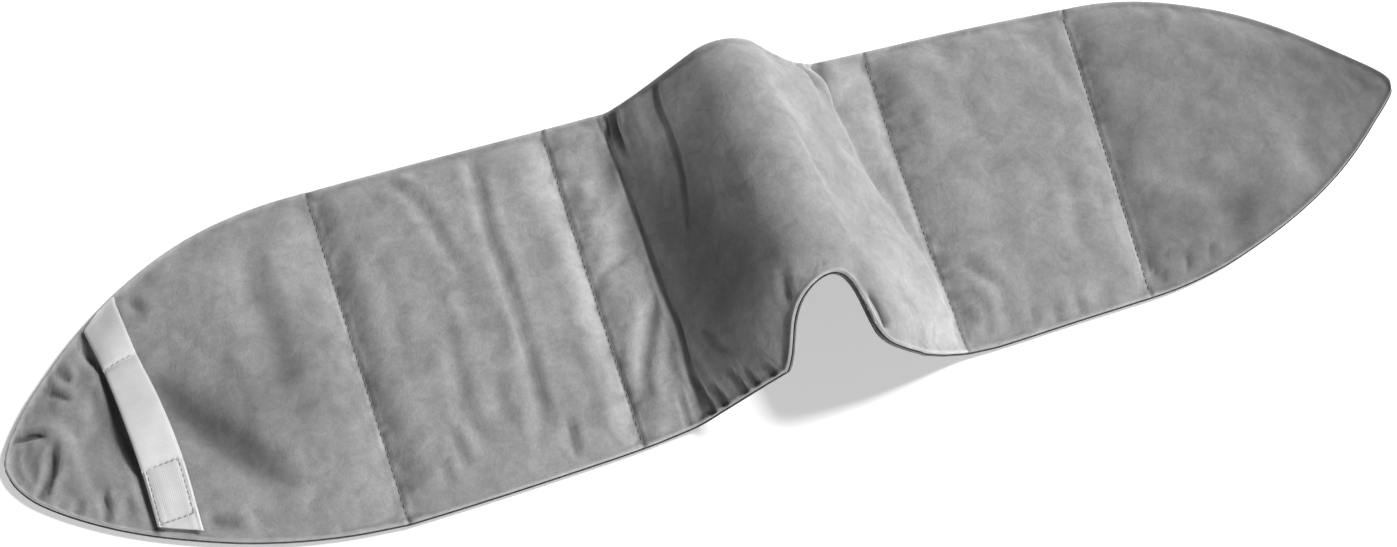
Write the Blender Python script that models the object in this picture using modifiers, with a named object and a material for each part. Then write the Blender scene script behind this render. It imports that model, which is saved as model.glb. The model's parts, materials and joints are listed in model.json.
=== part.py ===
"""Wrap-around padded sleep eye mask with an elastic keeper band.

Frame: metres, +Z up, the origin on the table under the middle of the mask,
X along the mask (the wing with the band is at -X, the pointed wing at +X),
Y from the cheek edge (front, with the nose notch) to the forehead edge (back).

The mask is two layers of cloth over wadding, quilted into panels:

    left wing | left pod | left gusset / left flank \\ / right flank \\ right gusset | right pod | right wing

The four bars are sewn channel seams, and the slashes are the soft folds of the
arch over the nose. Every panel is a skin-side cover, a wadding pad and a face
cover. The panels turn about the seams and folds between them.

Panel coordinates: u runs 0 to 1 along +X, v runs 0 to 1 from front to back.
"""
import math
from itertools import combinations
from typing import NamedTuple

import bmesh
import bpy
from mathutils import Matrix, Vector
from mathutils.bvhtree import BVHTree

for old_object in list(bpy.data.objects):
    bpy.data.objects.remove(old_object, do_unlink=True)

MM = 0.001
FRONT, BACK = 0, 1                      # places in every (front, back) pair

# ---- cloth and padding ----------------------------------------------------
COVER_T = 0.9 * MM
GAP = 0.3 * MM                          # between neighbouring layers
HALF_SEAM = 1.5 * MM                    # half of the sewn groove between panels
HALF_FOLD = 2.0 * MM
HALF_CREST = 3.0 * MM
PANEL_CROWN = 4.5 * MM                  # padding height of wings, gussets and flanks
POD_CROWN = 6.0 * MM
FOLD_CROWN = 0.9 * MM                   # padding left at the feet of the arch
CREST_CROWN = 3.5 * MM
MIN_PAD = 0.9 * MM                      # thinnest place that still holds wadding
EDGE_TAPER = 18.0 * MM                  # length over which the padding rises from an edge
GUSSET_TAPER = 9.0 * MM                 # the same, from the sides of a gusset
FOOT_TAPER = 16.0 * MM                  # the same, from the foot of the arch
CREST_TAPER_START = 0.7                 # share of a flank where the crest padding begins
NODE_CROWDING = 0.6                     # how far grid nodes crowd to the edges: 0 even, 1 full
SHARP_ANGLE = math.radians(40)


def mid_height(crown):
    """Height of the middle of the layers where the padding is crown high."""
    return (2 * COVER_T + GAP + crown) / 2


# ---- seams and folds between the panels -----------------------------------
class Line(NamedTuple):
    """A seam or fold from the front edge to the back edge."""
    x: tuple                            # (front, back)
    y: tuple                            # (front, back)
    half_gap: float
    crown: float                        # padding height on the line


def sewn(x, y):
    return Line([c * MM for c in x], [c * MM for c in y], HALF_SEAM, 0.0)


def folded(x, y):
    return Line([c * MM for c in x], [c * MM for c in y], HALF_FOLD, FOLD_CROWN)


LINES = {                               # mm, each pair (front, back)
    "left_outer": sewn(x=(-154.5, -157.7), y=(-72.0, 66.0)),
    "left_inner": sewn(x=(-66.1, -64.2), y=(-68.5, 68.2)),
    "left_foot": folded(x=(-41.0, -38.0), y=(-68.0, 69.0)),
    "right_foot": folded(x=(52.0, 45.0), y=(-67.5, 69.0)),
    "right_inner": sewn(x=(61.6, 71.2), y=(-67.1, 68.6)),
    "right_outer": sewn(x=(142.2, 159.6), y=(-65.3, 66.4)),
}

# ---- wings ----------------------------------------------------------------
LEFT_TIP = Vector((-283.5, -8.4)) * MM  # rounded end of the band wing
RIGHT_TIP = Vector((282.5, -7.3)) * MM  # pointed end of the other wing
WING_REACH = 0.985                      # share of the way to the tip that a wing covers
# (p, q) of each edge: y = seam_y * (1 - t^p)^q + tip_y * t^2, t from the seam to the tip
LEFT_CURVES = {"front": (1.7, 0.62), "back": (2.3, 0.87)}
RIGHT_CURVES = {"front": (2.2, 1.10), "back": (2.0, 0.80)}

# ---- nose arch, measured to its skin side ----------------------------------
CREST_X = (6.0 * MM, 5.0 * MM)          # (front, back)
ARCH_HEIGHT = (46.0 * MM, 40.0 * MM)    # (front, back)
ARCH_Y = (-67.0 * MM, 69.0 * MM)        # where those two sections stand
ARCH_CREST_R = 11.0 * MM
FOOT_INSET = 1.1 * MM                   # from the fold line to where a flank starts to rise
FOOT_LIFT = 0.5 * MM                    # height of that start
# notch in the front edge, lengths measured over the arch
NOTCH_DEPTH = 30.0 * MM
NOTCH_CENTRE = 5.0 * MM                 # right of the crest
NOTCH_LEFT = 35.0 * MM
NOTCH_RIGHT = 25.0 * MM
NOTCH_POWER = 2.4                       # squareness of the notch

# ---- threads and elastic keeper band ---------------------------------------
THREAD_R = 0.35 * MM
SEAM_THREAD_INSET = 2.5 * MM            # from the front and back edges
BAND_W = 12.7 * MM
BAND_T = 1.0 * MM
BAND_BACK = Vector((-239.5, 33.0, 0.0)) * MM    # centre line at its back end
BAND_FRONT = Vector((-229.8, -47.5, 0.0)) * MM  # centre line at its front end
SPAN_BACK_Y = 17.0 * MM                 # the free span lies between these two
SPAN_FRONT_Y = -26.0 * MM
SPAN_CUT = 0.4 * MM                     # space between the span or a sewn end and those places
SPAN_CLEAR = 4.8 * MM                   # rise of the span above the lying band
SPAN_BOW = 0.6 * MM                     # extra rise in the middle of the span
SPAN_PIVOT_Z = 8.0 * MM
BAND_COLUMNS = 4                        # grid cells across the band
BAND_REACH = 2.0 * MM                   # the band lies on the highest point this near
STITCH_REACH = 1.5 * MM                 # the same for the stitches on the band
STITCH_INSET = 2.2 * MM                 # from the span's ends to the stitches
BOX_END_INSET = 3.0 * MM                # from the band's front end to the box stitch
BOX_HALF = 0.36                         # half width of the box, as a share of the band's
BOX_CUT = 1.2 * MM                      # cut corners of the box
BOX_LONG_SIDE = 5.0 * MM                # sides longer than this in y are divided
BOX_STEPS = 5                           # steps along a long side

CENTRING = Vector((0.56, 1.395, 0.0)) * MM      # moves the outline's middle onto the origin
RAY_START_Z = 100.0 * MM                # above everything
PIVOT_DISPLAY_SIZE = 20.0 * MM


# ---- shared arithmetic -----------------------------------------------------
def smooth(t):
    t = min(1.0, max(0.0, t))
    return t * t * (3.0 - 2.0 * t)


def lerp(start, end, t):
    return start + (end - start) * t


def middle(pair):
    return (pair[0] + pair[1]) / 2


def nodes(count):
    """Node positions 0 to 1, count cells apart, that crowd towards both edges."""
    shares = [i / count for i in range(count + 1)]
    return [NODE_CROWDING * (0.5 - 0.5 * math.cos(math.pi * t)) + (1 - NODE_CROWDING) * t
            for t in shares]


def edge_taper(share, length):
    """Factor 0 to 1 that rises from both ends of a length."""
    return smooth(share * length / EDGE_TAPER) * smooth((1 - share) * length / EDGE_TAPER)


# ---- panels ----------------------------------------------------------------
# at(u, v) is a point on the panel's skin side and the normal there,
# crown(u, v) is the height of the padding.
class Flat:
    """A panel lying on the table between two lines."""

    def __init__(self, left, right, crown, taper):
        self.left, self.right = LINES[left], LINES[right]
        self.full_crown, self.taper = crown, taper

    def at(self, u, v):
        y_front = lerp(self.left.y[FRONT], self.right.y[FRONT], u)
        y_back = lerp(self.left.y[BACK], self.right.y[BACK], u)
        x_left = lerp(*self.left.x, v) + self.left.half_gap
        x_right = lerp(*self.right.x, v) - self.right.half_gap
        return Vector((lerp(x_left, x_right, u), lerp(y_front, y_back, v), 0)), Vector((0, 0, 1))

    def crown(self, u, v):
        length = self.at(1, v)[0].x - self.at(0, v)[0].x
        width = self.at(u, 1)[0].y - self.at(u, 0)[0].y
        from_left = lerp(self.left.crown, self.full_crown, smooth(u * length / self.taper))
        from_right = lerp(self.right.crown, self.full_crown,
                          smooth((1 - u) * length / self.taper))
        return from_left * from_right / self.full_crown * edge_taper(v, width)


class Wing:
    """An end panel that tapers to its tip; outward is -1 for the left wing, 1 for the right."""

    def __init__(self, seam, tip, curves, outward):
        self.seam, self.tip = LINES[seam], tip
        self.curves, self.outward = curves, outward

    def toward_tip(self, u):
        return (1.0 - u if self.outward < 0 else u) * WING_REACH

    def edges(self, t):
        """y of the front and the back edge."""
        ys = []
        for seam_y, edge in zip(self.seam.y, ("front", "back")):
            p, q = self.curves[edge]
            ys.append(seam_y * (1.0 - t ** p) ** q + self.tip.y * t * t)
        return ys

    def at(self, u, v):
        t = self.toward_tip(u)
        gap = self.outward * self.seam.half_gap
        x_front, x_back = (lerp(x + gap, self.tip.x, t) for x in self.seam.x)
        return Vector((lerp(x_front, x_back, v), lerp(*self.edges(t), v), 0)), Vector((0, 0, 1))

    def crown(self, u, v):
        t = self.toward_tip(u)
        length = abs(self.tip.x - self.seam.x[FRONT])
        y_front, y_back = self.edges(t)
        return PANEL_CROWN * edge_taper(t, length) * edge_taper(v, y_back - y_front)


def flank_measures(width, height):
    """A flank is straight from the foot, then an arc to the crest: slope, straight, total."""
    chord_slope = math.atan2(height - ARCH_CREST_R, width)
    slope = chord_slope + math.asin(ARCH_CREST_R / math.hypot(width, height - ARCH_CREST_R))
    straight = (width - ARCH_CREST_R * math.sin(slope)) / math.cos(slope)
    return slope, straight, straight + ARCH_CREST_R * slope


def flank_point(share, width, height):
    """Point at a share of a flank's length from the foot: (run, rise, slope)."""
    slope, straight, total = flank_measures(width, height)
    length = share * total
    if length <= straight:
        return length * math.cos(slope), length * math.sin(slope), slope
    here = slope - (length - straight) / ARCH_CREST_R
    return (straight * math.cos(slope) + ARCH_CREST_R * (math.sin(slope) - math.sin(here)),
            straight * math.sin(slope) + ARCH_CREST_R * (math.cos(here) - math.cos(slope)),
            here)


class Flank:
    """Half of the arch over the nose; inward is 1 for the left half, -1 for the right."""

    def __init__(self, foot, inward):
        self.foot, self.inward = LINES[foot], inward
        self.length = flank_measures(*self.size(FRONT))[2]

    def start_x(self, end):
        return self.foot.x[end] + self.inward * FOOT_INSET

    def size(self, end):
        """Width and height of the flank at the front or the back."""
        return abs(CREST_X[end] - self.start_x(end)), ARCH_HEIGHT[end] - FOOT_LIFT

    def share(self, u):
        """Share of the way from foot to crest."""
        first, last = HALF_FOLD / self.length, 1.0 - HALF_CREST / self.length
        return lerp(first, last, u if self.inward > 0 else 1.0 - u)

    def front_y(self, share):
        """y of the front edge, cut back by the notch."""
        offset = (share - 1.0) * self.length * self.inward - NOTCH_CENTRE
        ratio = abs(offset) / (NOTCH_LEFT if offset < 0 else NOTCH_RIGHT)
        return self.foot.y[FRONT] + NOTCH_DEPTH * max(0.0, 1.0 - ratio ** NOTCH_POWER) ** 0.5

    def profile(self, share, end):
        """x, z and slope at the front or the back."""
        run, rise, slope = flank_point(share, *self.size(end))
        return self.start_x(end) + self.inward * run, rise + FOOT_LIFT, slope

    def at(self, u, v):
        share = self.share(u)
        y = lerp(self.front_y(share), self.foot.y[BACK], v)
        depth = (y - ARCH_Y[FRONT]) / (ARCH_Y[BACK] - ARCH_Y[FRONT])
        x, z, slope = (lerp(front, back, depth) for front, back in
                       zip(self.profile(share, FRONT), self.profile(share, BACK)))
        return Vector((x, y, z)), Vector((-self.inward * math.sin(slope), 0, math.cos(slope)))

    def crown(self, u, v):
        share = self.share(u)
        width = self.foot.y[BACK] - self.front_y(share)
        height = lerp(FOLD_CROWN, PANEL_CROWN, smooth(share * self.length / FOOT_TAPER))
        near_crest = smooth((share - CREST_TAPER_START) / (1 - CREST_TAPER_START))
        return lerp(height, CREST_CROWN, near_crest) * edge_taper(v, width)


# body: (panel, cells along u, cells along v, cells along v of the skin cover)
PANELS = {
    "left_wing": (Wing("left_outer", LEFT_TIP, LEFT_CURVES, -1), 10, 8, 1),
    "left_pod": (Flat("left_outer", "left_inner", POD_CROWN, EDGE_TAPER), 8, 8, 1),
    "left_gusset": (Flat("left_inner", "left_foot", PANEL_CROWN, GUSSET_TAPER), 5, 8, 1),
    "left_flank": (Flank("left_foot", 1), 11, 7, 4),
    "right_flank": (Flank("right_foot", -1), 11, 7, 4),
    "right_gusset": (Flat("right_foot", "right_inner", PANEL_CROWN, GUSSET_TAPER), 5, 8, 1),
    "right_pod": (Flat("right_inner", "right_outer", POD_CROWN, EDGE_TAPER), 8, 8, 1),
    "right_wing": (Wing("right_outer", RIGHT_TIP, RIGHT_CURVES, 1), 10, 8, 1),
}


# ---- pivots of the moving bodies, one empty each ----------------------------
def on_line(name):
    """Middle of a seam or fold."""
    line = LINES[name]
    return Vector((middle(line.x), 0, mid_height(line.crown)))


# body: (parent body, pivot); parents come before their children
PIVOTS = {
    "left_gusset": (None, Vector((0, 0, 0))),
    "left_pod": ("left_gusset", on_line("left_inner")),
    "left_wing": ("left_pod", on_line("left_outer")),
    "band_span": ("left_wing", Vector((middle((BAND_BACK.x, BAND_FRONT.x)), 0, SPAN_PIVOT_Z))),
    "left_flank": ("left_gusset", on_line("left_foot")),
    "right_flank": ("left_flank", Vector((middle(CREST_X), 0,
                                          middle(ARCH_HEIGHT) + mid_height(CREST_CROWN)))),
    "right_gusset": ("right_flank", on_line("right_foot")),
    "right_pod": ("right_gusset", on_line("right_inner")),
    "right_wing": ("right_pod", on_line("right_outer")),
}

mask = bpy.data.collections.new("sleep_eye_mask")
bpy.context.scene.collection.children.link(mask)


def add_pivots():
    empties = {}
    for body, (parent, pivot) in PIVOTS.items():
        empty = bpy.data.objects.new("pivot_" + body, None)
        empty.empty_display_size = PIVOT_DISPLAY_SIZE
        mask.objects.link(empty)
        if parent:
            empty.parent = empties[parent]
            empty.location = pivot - PIVOTS[parent][1]
        else:
            empty.location = pivot + CENTRING
        empties[body] = empty
    return empties


pivot_empties = add_pivots()

# ---- materials: every object gets its own, named after it --------------------
FINISHES = {
    "face_cover": dict(colour=(0.30, 0.30, 0.30), roughness=0.9),
    "skin_cover": dict(colour=(0.42, 0.42, 0.42), roughness=0.7),
    "wadding": dict(colour=(0.80, 0.80, 0.78), roughness=1.0),
    "thread": dict(colour=(0.22, 0.22, 0.22), roughness=0.6),
    "band": dict(colour=(0.60, 0.60, 0.60), roughness=0.75),
}


def make_material(name, colour, roughness):
    made = bpy.data.materials.new(name)
    made.use_nodes = True
    shader = made.node_tree.nodes["Principled BSDF"]
    shader.inputs["Base Color"].default_value = (*colour, 1.0)
    shader.inputs["Roughness"].default_value = roughness
    shader.inputs["Metallic"].default_value = 0.0
    return made


# ---- object helpers ----------------------------------------------------------
def add_object(name, data, body, finish):
    """Link a mesh or curve, given in outline coordinates, under its body's pivot."""
    data.transform(Matrix.Translation(-PIVOTS[body][1]))
    made = bpy.data.objects.new(name, data)
    made.parent = pivot_empties[body]
    data.materials.append(make_material(name, **FINISHES[finish]))
    mask.objects.link(made)
    return made


def to_mesh(bm, name):
    mesh = bpy.data.meshes.new(name)
    bm.to_mesh(mesh)
    bm.free()
    mesh.shade_smooth()
    mesh.set_sharp_from_angle(angle=SHARP_ANGLE)
    return mesh


def extrude_all(bm):
    """Extrude every face in place and return the new vertices."""
    made = bmesh.ops.extrude_face_region(bm, geom=bm.faces[:])
    return {item for item in made["geom"] if isinstance(item, bmesh.types.BMVert)}


def panel_grid(u_nodes, v_nodes):
    """A flat grid whose vertices carry their panel coordinates in two layers."""
    columns, rows = len(u_nodes) - 1, len(v_nodes) - 1
    bm = bmesh.new()
    bmesh.ops.create_grid(bm, x_segments=columns, y_segments=rows, size=1.0)
    u_layer, v_layer = bm.verts.layers.float.new("u"), bm.verts.layers.float.new("v")
    for vert in bm.verts:
        vert[u_layer] = u_nodes[round((vert.co.x + 1) / 2 * columns)]
        vert[v_layer] = v_nodes[round((vert.co.y + 1) / 2 * rows)]
    bmesh.ops.triangulate(bm, faces=bm.faces[:], quad_method="FIXED")
    return bm, u_layer, v_layer


# ---- covers and wadding -------------------------------------------------------
def add_cover(kind, body, panel, columns, rows, height, direction):
    """One layer of cloth, thickened from its padding side: direction 1 up, -1 down."""
    name = f"{kind}_{body}"
    bm, u_layer, v_layer = panel_grid(nodes(columns), nodes(rows))
    for vert in bm.verts:
        u, v = vert[u_layer], vert[v_layer]
        point, normal = panel.at(u, v)
        vert.co = point + normal * height(u, v)
    cover = add_object(name, to_mesh(bm, name), body, kind)
    solidify = cover.modifiers.new("cloth", "SOLIDIFY")
    solidify.thickness = COVER_T
    solidify.offset = direction
    solidify.use_rim = True
    return cover


def add_face_cover(body, panel, columns, rows):
    return add_cover("face_cover", body, panel, columns, rows,
                     lambda u, v: COVER_T + GAP + panel.crown(u, v), 1.0)


def add_skin_cover(body, panel, columns, rows):
    add_cover("skin_cover", body, panel, columns, rows, lambda u, v: COVER_T, -1.0)


def largest_deep_block(panel, u_nodes, v_nodes):
    """Largest block of inner nodes deep enough for wadding: first and last i, first and last j."""
    deep = {(i, j) for i, u in enumerate(u_nodes) for j, v in enumerate(v_nodes)
            if panel.crown(u, v) >= MIN_PAD}
    blocks = [(i0, i1, j0, j1)
              for i0, i1 in combinations(range(1, len(u_nodes) - 1), 2)
              for j0, j1 in combinations(range(1, len(v_nodes) - 1), 2)
              if all((i, j) in deep for i in range(i0, i1 + 1) for j in range(j0, j1 + 1))]
    return max(blocks, key=lambda block: (block[1] - block[0]) * (block[3] - block[2]))


def add_wadding(body, panel, columns, rows):
    """The pad between the covers, where it is deep enough."""
    name = "wadding_" + body
    u_nodes, v_nodes = nodes(columns), nodes(rows)
    i0, i1, j0, j1 = largest_deep_block(panel, u_nodes, v_nodes)
    bm, u_layer, v_layer = panel_grid(u_nodes[i0:i1 + 1], v_nodes[j0:j1 + 1])
    top = extrude_all(bm)
    for vert in bm.verts:
        u, v = vert[u_layer], vert[v_layer]
        point, normal = panel.at(u, v)
        height = COVER_T + GAP
        if vert in top:
            height += panel.crown(u, v) - GAP
        vert.co = point + normal * height
    bmesh.ops.recalc_face_normals(bm, faces=bm.faces[:])
    add_object(name, to_mesh(bm, name), body, "wadding")


face_covers = {}
for body, (panel, columns, rows, skin_rows) in PANELS.items():
    face_covers[body] = add_face_cover(body, panel, columns, rows)
    add_skin_cover(body, panel, columns, skin_rows)
    add_wadding(body, panel, columns, rows)


# ---- seam threads --------------------------------------------------------------
def add_thread(name, points, body, closed=False):
    curve = bpy.data.curves.new(name, "CURVE")
    curve.dimensions = "3D"
    curve.bevel_depth = THREAD_R
    curve.bevel_resolution = 2
    curve.use_fill_caps = True
    spline = curve.splines.new("POLY")
    spline.points.add(len(points) - 1)
    for target, point in zip(spline.points, points):
        target.co = (*point, 1.0)
    spline.use_cyclic_u = closed
    add_object(name, curve, body, "thread")


def add_seam_thread(seam, body):
    """A row of lock stitching along a channel seam, stopping short of the edges."""
    line = LINES[seam]
    first, last = line.y[FRONT] + SEAM_THREAD_INSET, line.y[BACK] - SEAM_THREAD_INSET
    width = line.y[BACK] - line.y[FRONT]
    points = [Vector((lerp(*line.x, (y - line.y[FRONT]) / width), y, mid_height(line.crown)))
              for y in (first, (first + last) / 2, last)]
    add_thread("seam_thread_" + seam, points, body)


for seam, body in (("left_outer", "left_pod"), ("left_inner", "left_gusset"),
                   ("right_inner", "right_gusset"), ("right_outer", "right_pod")):
    add_seam_thread(seam, body)


# ---- elastic keeper band across the left wing ------------------------------------
def surface_tree(source):
    """Search tree of an object's surface with its modifiers, in outline coordinates."""
    bpy.context.view_layer.update()
    evaluated = source.evaluated_get(bpy.context.evaluated_depsgraph_get())
    mesh = evaluated.to_mesh()
    to_outline = Matrix.Translation(-CENTRING) @ source.matrix_world
    tree = BVHTree.FromPolygons([to_outline @ vert.co for vert in mesh.vertices],
                                [polygon.vertices for polygon in mesh.polygons])
    evaluated.to_mesh_clear()
    return tree


wing_tree = surface_tree(face_covers["left_wing"])
band_direction = (BAND_FRONT - BAND_BACK).normalized()
band_side = Vector((-band_direction.y, band_direction.x, 0.0))


def wing_top(x, y):
    """Height of the left wing's outer face, or of its flat edge where there is none."""
    hit = wing_tree.ray_cast(Vector((x, y, RAY_START_Z)), Vector((0, 0, -1)))
    return hit[0].z if hit[0] else 2 * COVER_T + GAP


def highest_near(height, x, y, reach):
    steps = (-reach, 0, reach)
    return max(height(x + dx, y + dy) for dx in steps for dy in steps)


def lying_height(x, y):
    """Underside of the band resting on the wing."""
    return highest_near(wing_top, x, y, BAND_REACH) + GAP


def band_point(y, across):
    """Point at y along the centre line and across the width (-0.5 to 0.5), at z = 0."""
    share = (y - BAND_BACK.y) / (BAND_FRONT.y - BAND_BACK.y)
    return BAND_BACK.lerp(BAND_FRONT, share) + band_side * (across * BAND_W)


def highest_across(y):
    return max(lying_height(*band_point(y, across).xy) for across in (-0.5, 0, 0.5))


span_back_z, span_front_z = highest_across(SPAN_BACK_Y), highest_across(SPAN_FRONT_Y)


def span_height(x, y):
    """Underside of the free span; x is not used, as the span is level across X."""
    share = (y - SPAN_BACK_Y) / (SPAN_FRONT_Y - SPAN_BACK_Y)
    bow = SPAN_BOW * math.sin(math.pi * min(1, max(0, share)))
    return lerp(span_back_z, span_front_z, share) + SPAN_CLEAR + bow


def add_strip(name, y_start, y_end, rows, height, body):
    """A piece of the band between two places, its underside at the given height."""
    bm = bmesh.new()
    bmesh.ops.create_grid(bm, x_segments=BAND_COLUMNS, y_segments=rows, size=0.5)
    for vert in bm.verts:
        point = band_point(lerp(y_start, y_end, vert.co.y + 0.5), vert.co.x)
        vert.co = Vector((point.x, point.y, height(point.x, point.y)))
    for vert in extrude_all(bm):
        vert.co.z += BAND_T
    bmesh.ops.recalc_face_normals(bm, faces=bm.faces[:])
    add_object(name, to_mesh(bm, name), body, "band")


def stitch_point(y, across):
    point = band_point(y, across)
    z = highest_near(lying_height, point.x, point.y, STITCH_REACH)
    return Vector((point.x, point.y, z + BAND_T + THREAD_R + GAP))


def add_line_stitch():
    """One row across the back end of the band."""
    points = [stitch_point(SPAN_BACK_Y + STITCH_INSET, i / 8) for i in range(-3, 4)]
    add_thread("band_line_stitch", points, "left_wing")


def add_box_stitch():
    """A closed rectangle with cut corners on the front end of the band."""
    back, front = SPAN_FRONT_Y - STITCH_INSET, BAND_FRONT.y + BOX_END_INSET
    inner = BOX_HALF - BOX_CUT / BAND_W
    corners = [                         # (y, share across the band)
        (back, -inner), (back, inner), (back - BOX_CUT, BOX_HALF), (front + BOX_CUT, BOX_HALF),
        (front, inner), (front, -inner), (front + BOX_CUT, -BOX_HALF), (back - BOX_CUT, -BOX_HALF),
    ]
    points = []
    for (y0, across0), (y1, across1) in zip(corners, corners[1:] + corners[:1]):
        steps = BOX_STEPS if abs(y1 - y0) > BOX_LONG_SIDE else 1
        points += [stitch_point(lerp(y0, y1, k / steps), lerp(across0, across1, k / steps))
                   for k in range(steps)]
    add_thread("band_box_stitch", points, "left_wing", closed=True)


add_strip("band_end_upper", SPAN_BACK_Y + SPAN_CUT, BAND_BACK.y, 5, lying_height, "left_wing")
add_strip("band_span", SPAN_FRONT_Y + SPAN_CUT, SPAN_BACK_Y - SPAN_CUT, 8, span_height, "band_span")
add_strip("band_end_lower", BAND_FRONT.y, SPAN_FRONT_Y - SPAN_CUT, 6, lying_height, "left_wing")
add_line_stitch()
add_box_stitch()
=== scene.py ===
"""Looks of a wrap-around sleep eye mask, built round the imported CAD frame.

The mask lies on the table (z = 0), its wings spread along X: left is -X, right +X, front -Y, back +Y.
Between the pods the cloth rises in an arch over the nose, with a notch in its front edge.
Shapes are in millimetres in the outline's own coordinates; make_object moves them onto the frame.
"""
import json
import math

import bpy
import numpy as np
from mathutils import Matrix, Vector, kdtree


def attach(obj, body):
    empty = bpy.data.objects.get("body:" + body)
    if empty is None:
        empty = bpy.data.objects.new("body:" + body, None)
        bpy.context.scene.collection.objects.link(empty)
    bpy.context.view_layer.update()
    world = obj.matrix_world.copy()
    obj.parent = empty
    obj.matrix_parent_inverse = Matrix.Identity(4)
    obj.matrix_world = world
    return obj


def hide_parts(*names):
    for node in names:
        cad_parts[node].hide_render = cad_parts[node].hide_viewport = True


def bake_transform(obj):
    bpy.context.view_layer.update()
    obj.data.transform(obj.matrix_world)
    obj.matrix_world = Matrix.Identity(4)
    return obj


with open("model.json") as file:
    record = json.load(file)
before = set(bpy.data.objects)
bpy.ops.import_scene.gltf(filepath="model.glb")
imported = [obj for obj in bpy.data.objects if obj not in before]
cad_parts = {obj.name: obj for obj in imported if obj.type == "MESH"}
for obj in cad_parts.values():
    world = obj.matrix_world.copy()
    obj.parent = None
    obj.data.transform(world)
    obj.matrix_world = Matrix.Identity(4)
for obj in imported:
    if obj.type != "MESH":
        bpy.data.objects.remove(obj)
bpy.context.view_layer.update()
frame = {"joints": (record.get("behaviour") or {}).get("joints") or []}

SHIFT = np.array([0.56, 1.395, 0.0])              # outline coordinates to the frame's, mm
FRONT_Y, BACK_Y = -67.0, 69.0                     # y between which the joint lines are measured
COVER_THICK, SKIN_THICK = 0.55, 0.4               # upper and lower cloth
SEAM_HEIGHT, EDGE_HEIGHT = 1.7, 2.25              # of the face at a channel seam, of the outline seam
NOISE_CELLS, NOISE_LAYERS = 64, 8
LATTICE = np.random.RandomState(7).rand(NOISE_CELLS, NOISE_CELLS, NOISE_LAYERS)

# bodies from left to right, and the lines between them: name, joint, reach of the bend to the
# left and to the right of the line
BODIES = ("left_wing", "left_pod", "left_gusset", "left_flank",
          "right_flank", "right_gusset", "right_pod", "right_wing")
BENDS = (
    ("seam_left_outer", "left_wing_fold", 4.4, 4.4),
    ("seam_left_inner", "left_temple_fold", 4.4, 4.4),
    ("fold_left_foot", "bridge_arch", 6.4, 7.4),
    ("fold_crest", "bridge_crest", 8.9, 8.9),
    ("fold_right_foot", "bridge_right_foot", 7.4, 4.1),
    ("seam_right_inner", "right_temple_fold", 3.9, 4.4),
    ("seam_right_outer", "right_wing_fold", 4.4, 4.4))
SEAMS = ("seam_left_outer", "seam_left_inner", "seam_right_inner", "seam_right_outer")


# --------------------------------------------------------------------------
# helpers
# --------------------------------------------------------------------------
def lerp(a, b, t):
    return a + (b - a) * t


def smooth(t):
    t = np.clip(t, 0.0, 1.0)
    return t * t * (3 - 2 * t)


def bell(distance, width):
    return np.exp(-(distance / width) ** 2)


def running(lengths):
    """Running total that starts at 0."""
    return np.concatenate([[0], np.cumsum(lengths)])


def share(y):
    """0 at the front measuring line, 1 at the back one."""
    return (y - FRONT_Y) / (BACK_Y - FRONT_Y)


def hermite(x, points):
    """Smooth curve y(x) through a few design points."""
    px, py = np.array(points, float).T
    d = np.diff(py) / np.diff(px)
    m = np.concatenate([[d[0]], (d[1:] + d[:-1]) / 2, [d[-1]]])
    x = np.asarray(x, float)
    k = np.clip(np.searchsorted(px, x) - 1, 0, len(px) - 2)
    h = px[k + 1] - px[k]
    t = np.clip((x - px[k]) / h, 0, 1)
    return ((2 * t ** 3 - 3 * t ** 2 + 1) * py[k] + (t ** 3 - 2 * t ** 2 + t) * h * m[k]
            + (-2 * t ** 3 + 3 * t ** 2) * py[k + 1] + (t ** 3 - t ** 2) * h * m[k + 1])


def curve(points, n=60):
    """Dense samples of a centripetal Catmull-Rom curve through design points."""
    p = np.array(points, float)
    p = np.concatenate([[2 * p[0] - p[1]], p, [2 * p[-1] - p[-2]]])
    out = []
    for a, b, c, d in zip(p[:-3], p[1:-2], p[2:-1], p[3:]):
        t1 = np.linalg.norm(b - a) ** 0.5
        t2 = t1 + np.linalg.norm(c - b) ** 0.5
        t3 = t2 + np.linalg.norm(d - c) ** 0.5
        t = np.linspace(t1, t2, n, endpoint=False)[:, None]
        a1 = a + (b - a) * t / t1
        a2 = b + (c - b) * (t - t1) / (t2 - t1)
        a3 = c + (d - c) * (t - t2) / (t3 - t2)
        b1, b2 = a1 + (a2 - a1) * t / t2, a2 + (a3 - a2) * (t - t1) / (t3 - t1)
        out.append(b1 + (b2 - b1) * (t - t1) / (t2 - t1))
    return np.concatenate(out + [p[-2:-1]])


def noise2(x, y, scale, layer):
    """Smooth value noise, -1 to 1."""
    u, v = np.asarray(x) / scale + 17.3 * layer, np.asarray(y) / scale + 9.1 * layer
    i, j = np.floor(u).astype(int), np.floor(v).astype(int)
    u, v = u - i, v - j
    u = u * u * u * (u * (u * 6 - 15) + 10)
    v = v * v * v * (v * (v * 6 - 15) + 10)
    values, n = LATTICE[:, :, layer % NOISE_LAYERS], NOISE_CELLS
    a, b = values[i % n, j % n], values[(i + 1) % n, j % n]
    c, d = values[i % n, (j + 1) % n], values[(i + 1) % n, (j + 1) % n]
    return 2 * lerp(lerp(a, b, u), lerp(c, d, u), v) - 1


def joint_line(joint):
    """x of a joint's axis at the front and back measuring lines."""
    p = np.array(joint["pos_m"]) * 1000 - SHIFT
    axis = np.array(joint["axis"])
    return tuple(p[0] + axis[0] / axis[1] * (y - p[1]) for y in (FRONT_Y, BACK_Y))


joints = {j["name"]: j for j in frame["joints"]}
LINES = {name: joint_line(joints[joint]) for name, joint, _, _ in BENDS}

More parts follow.
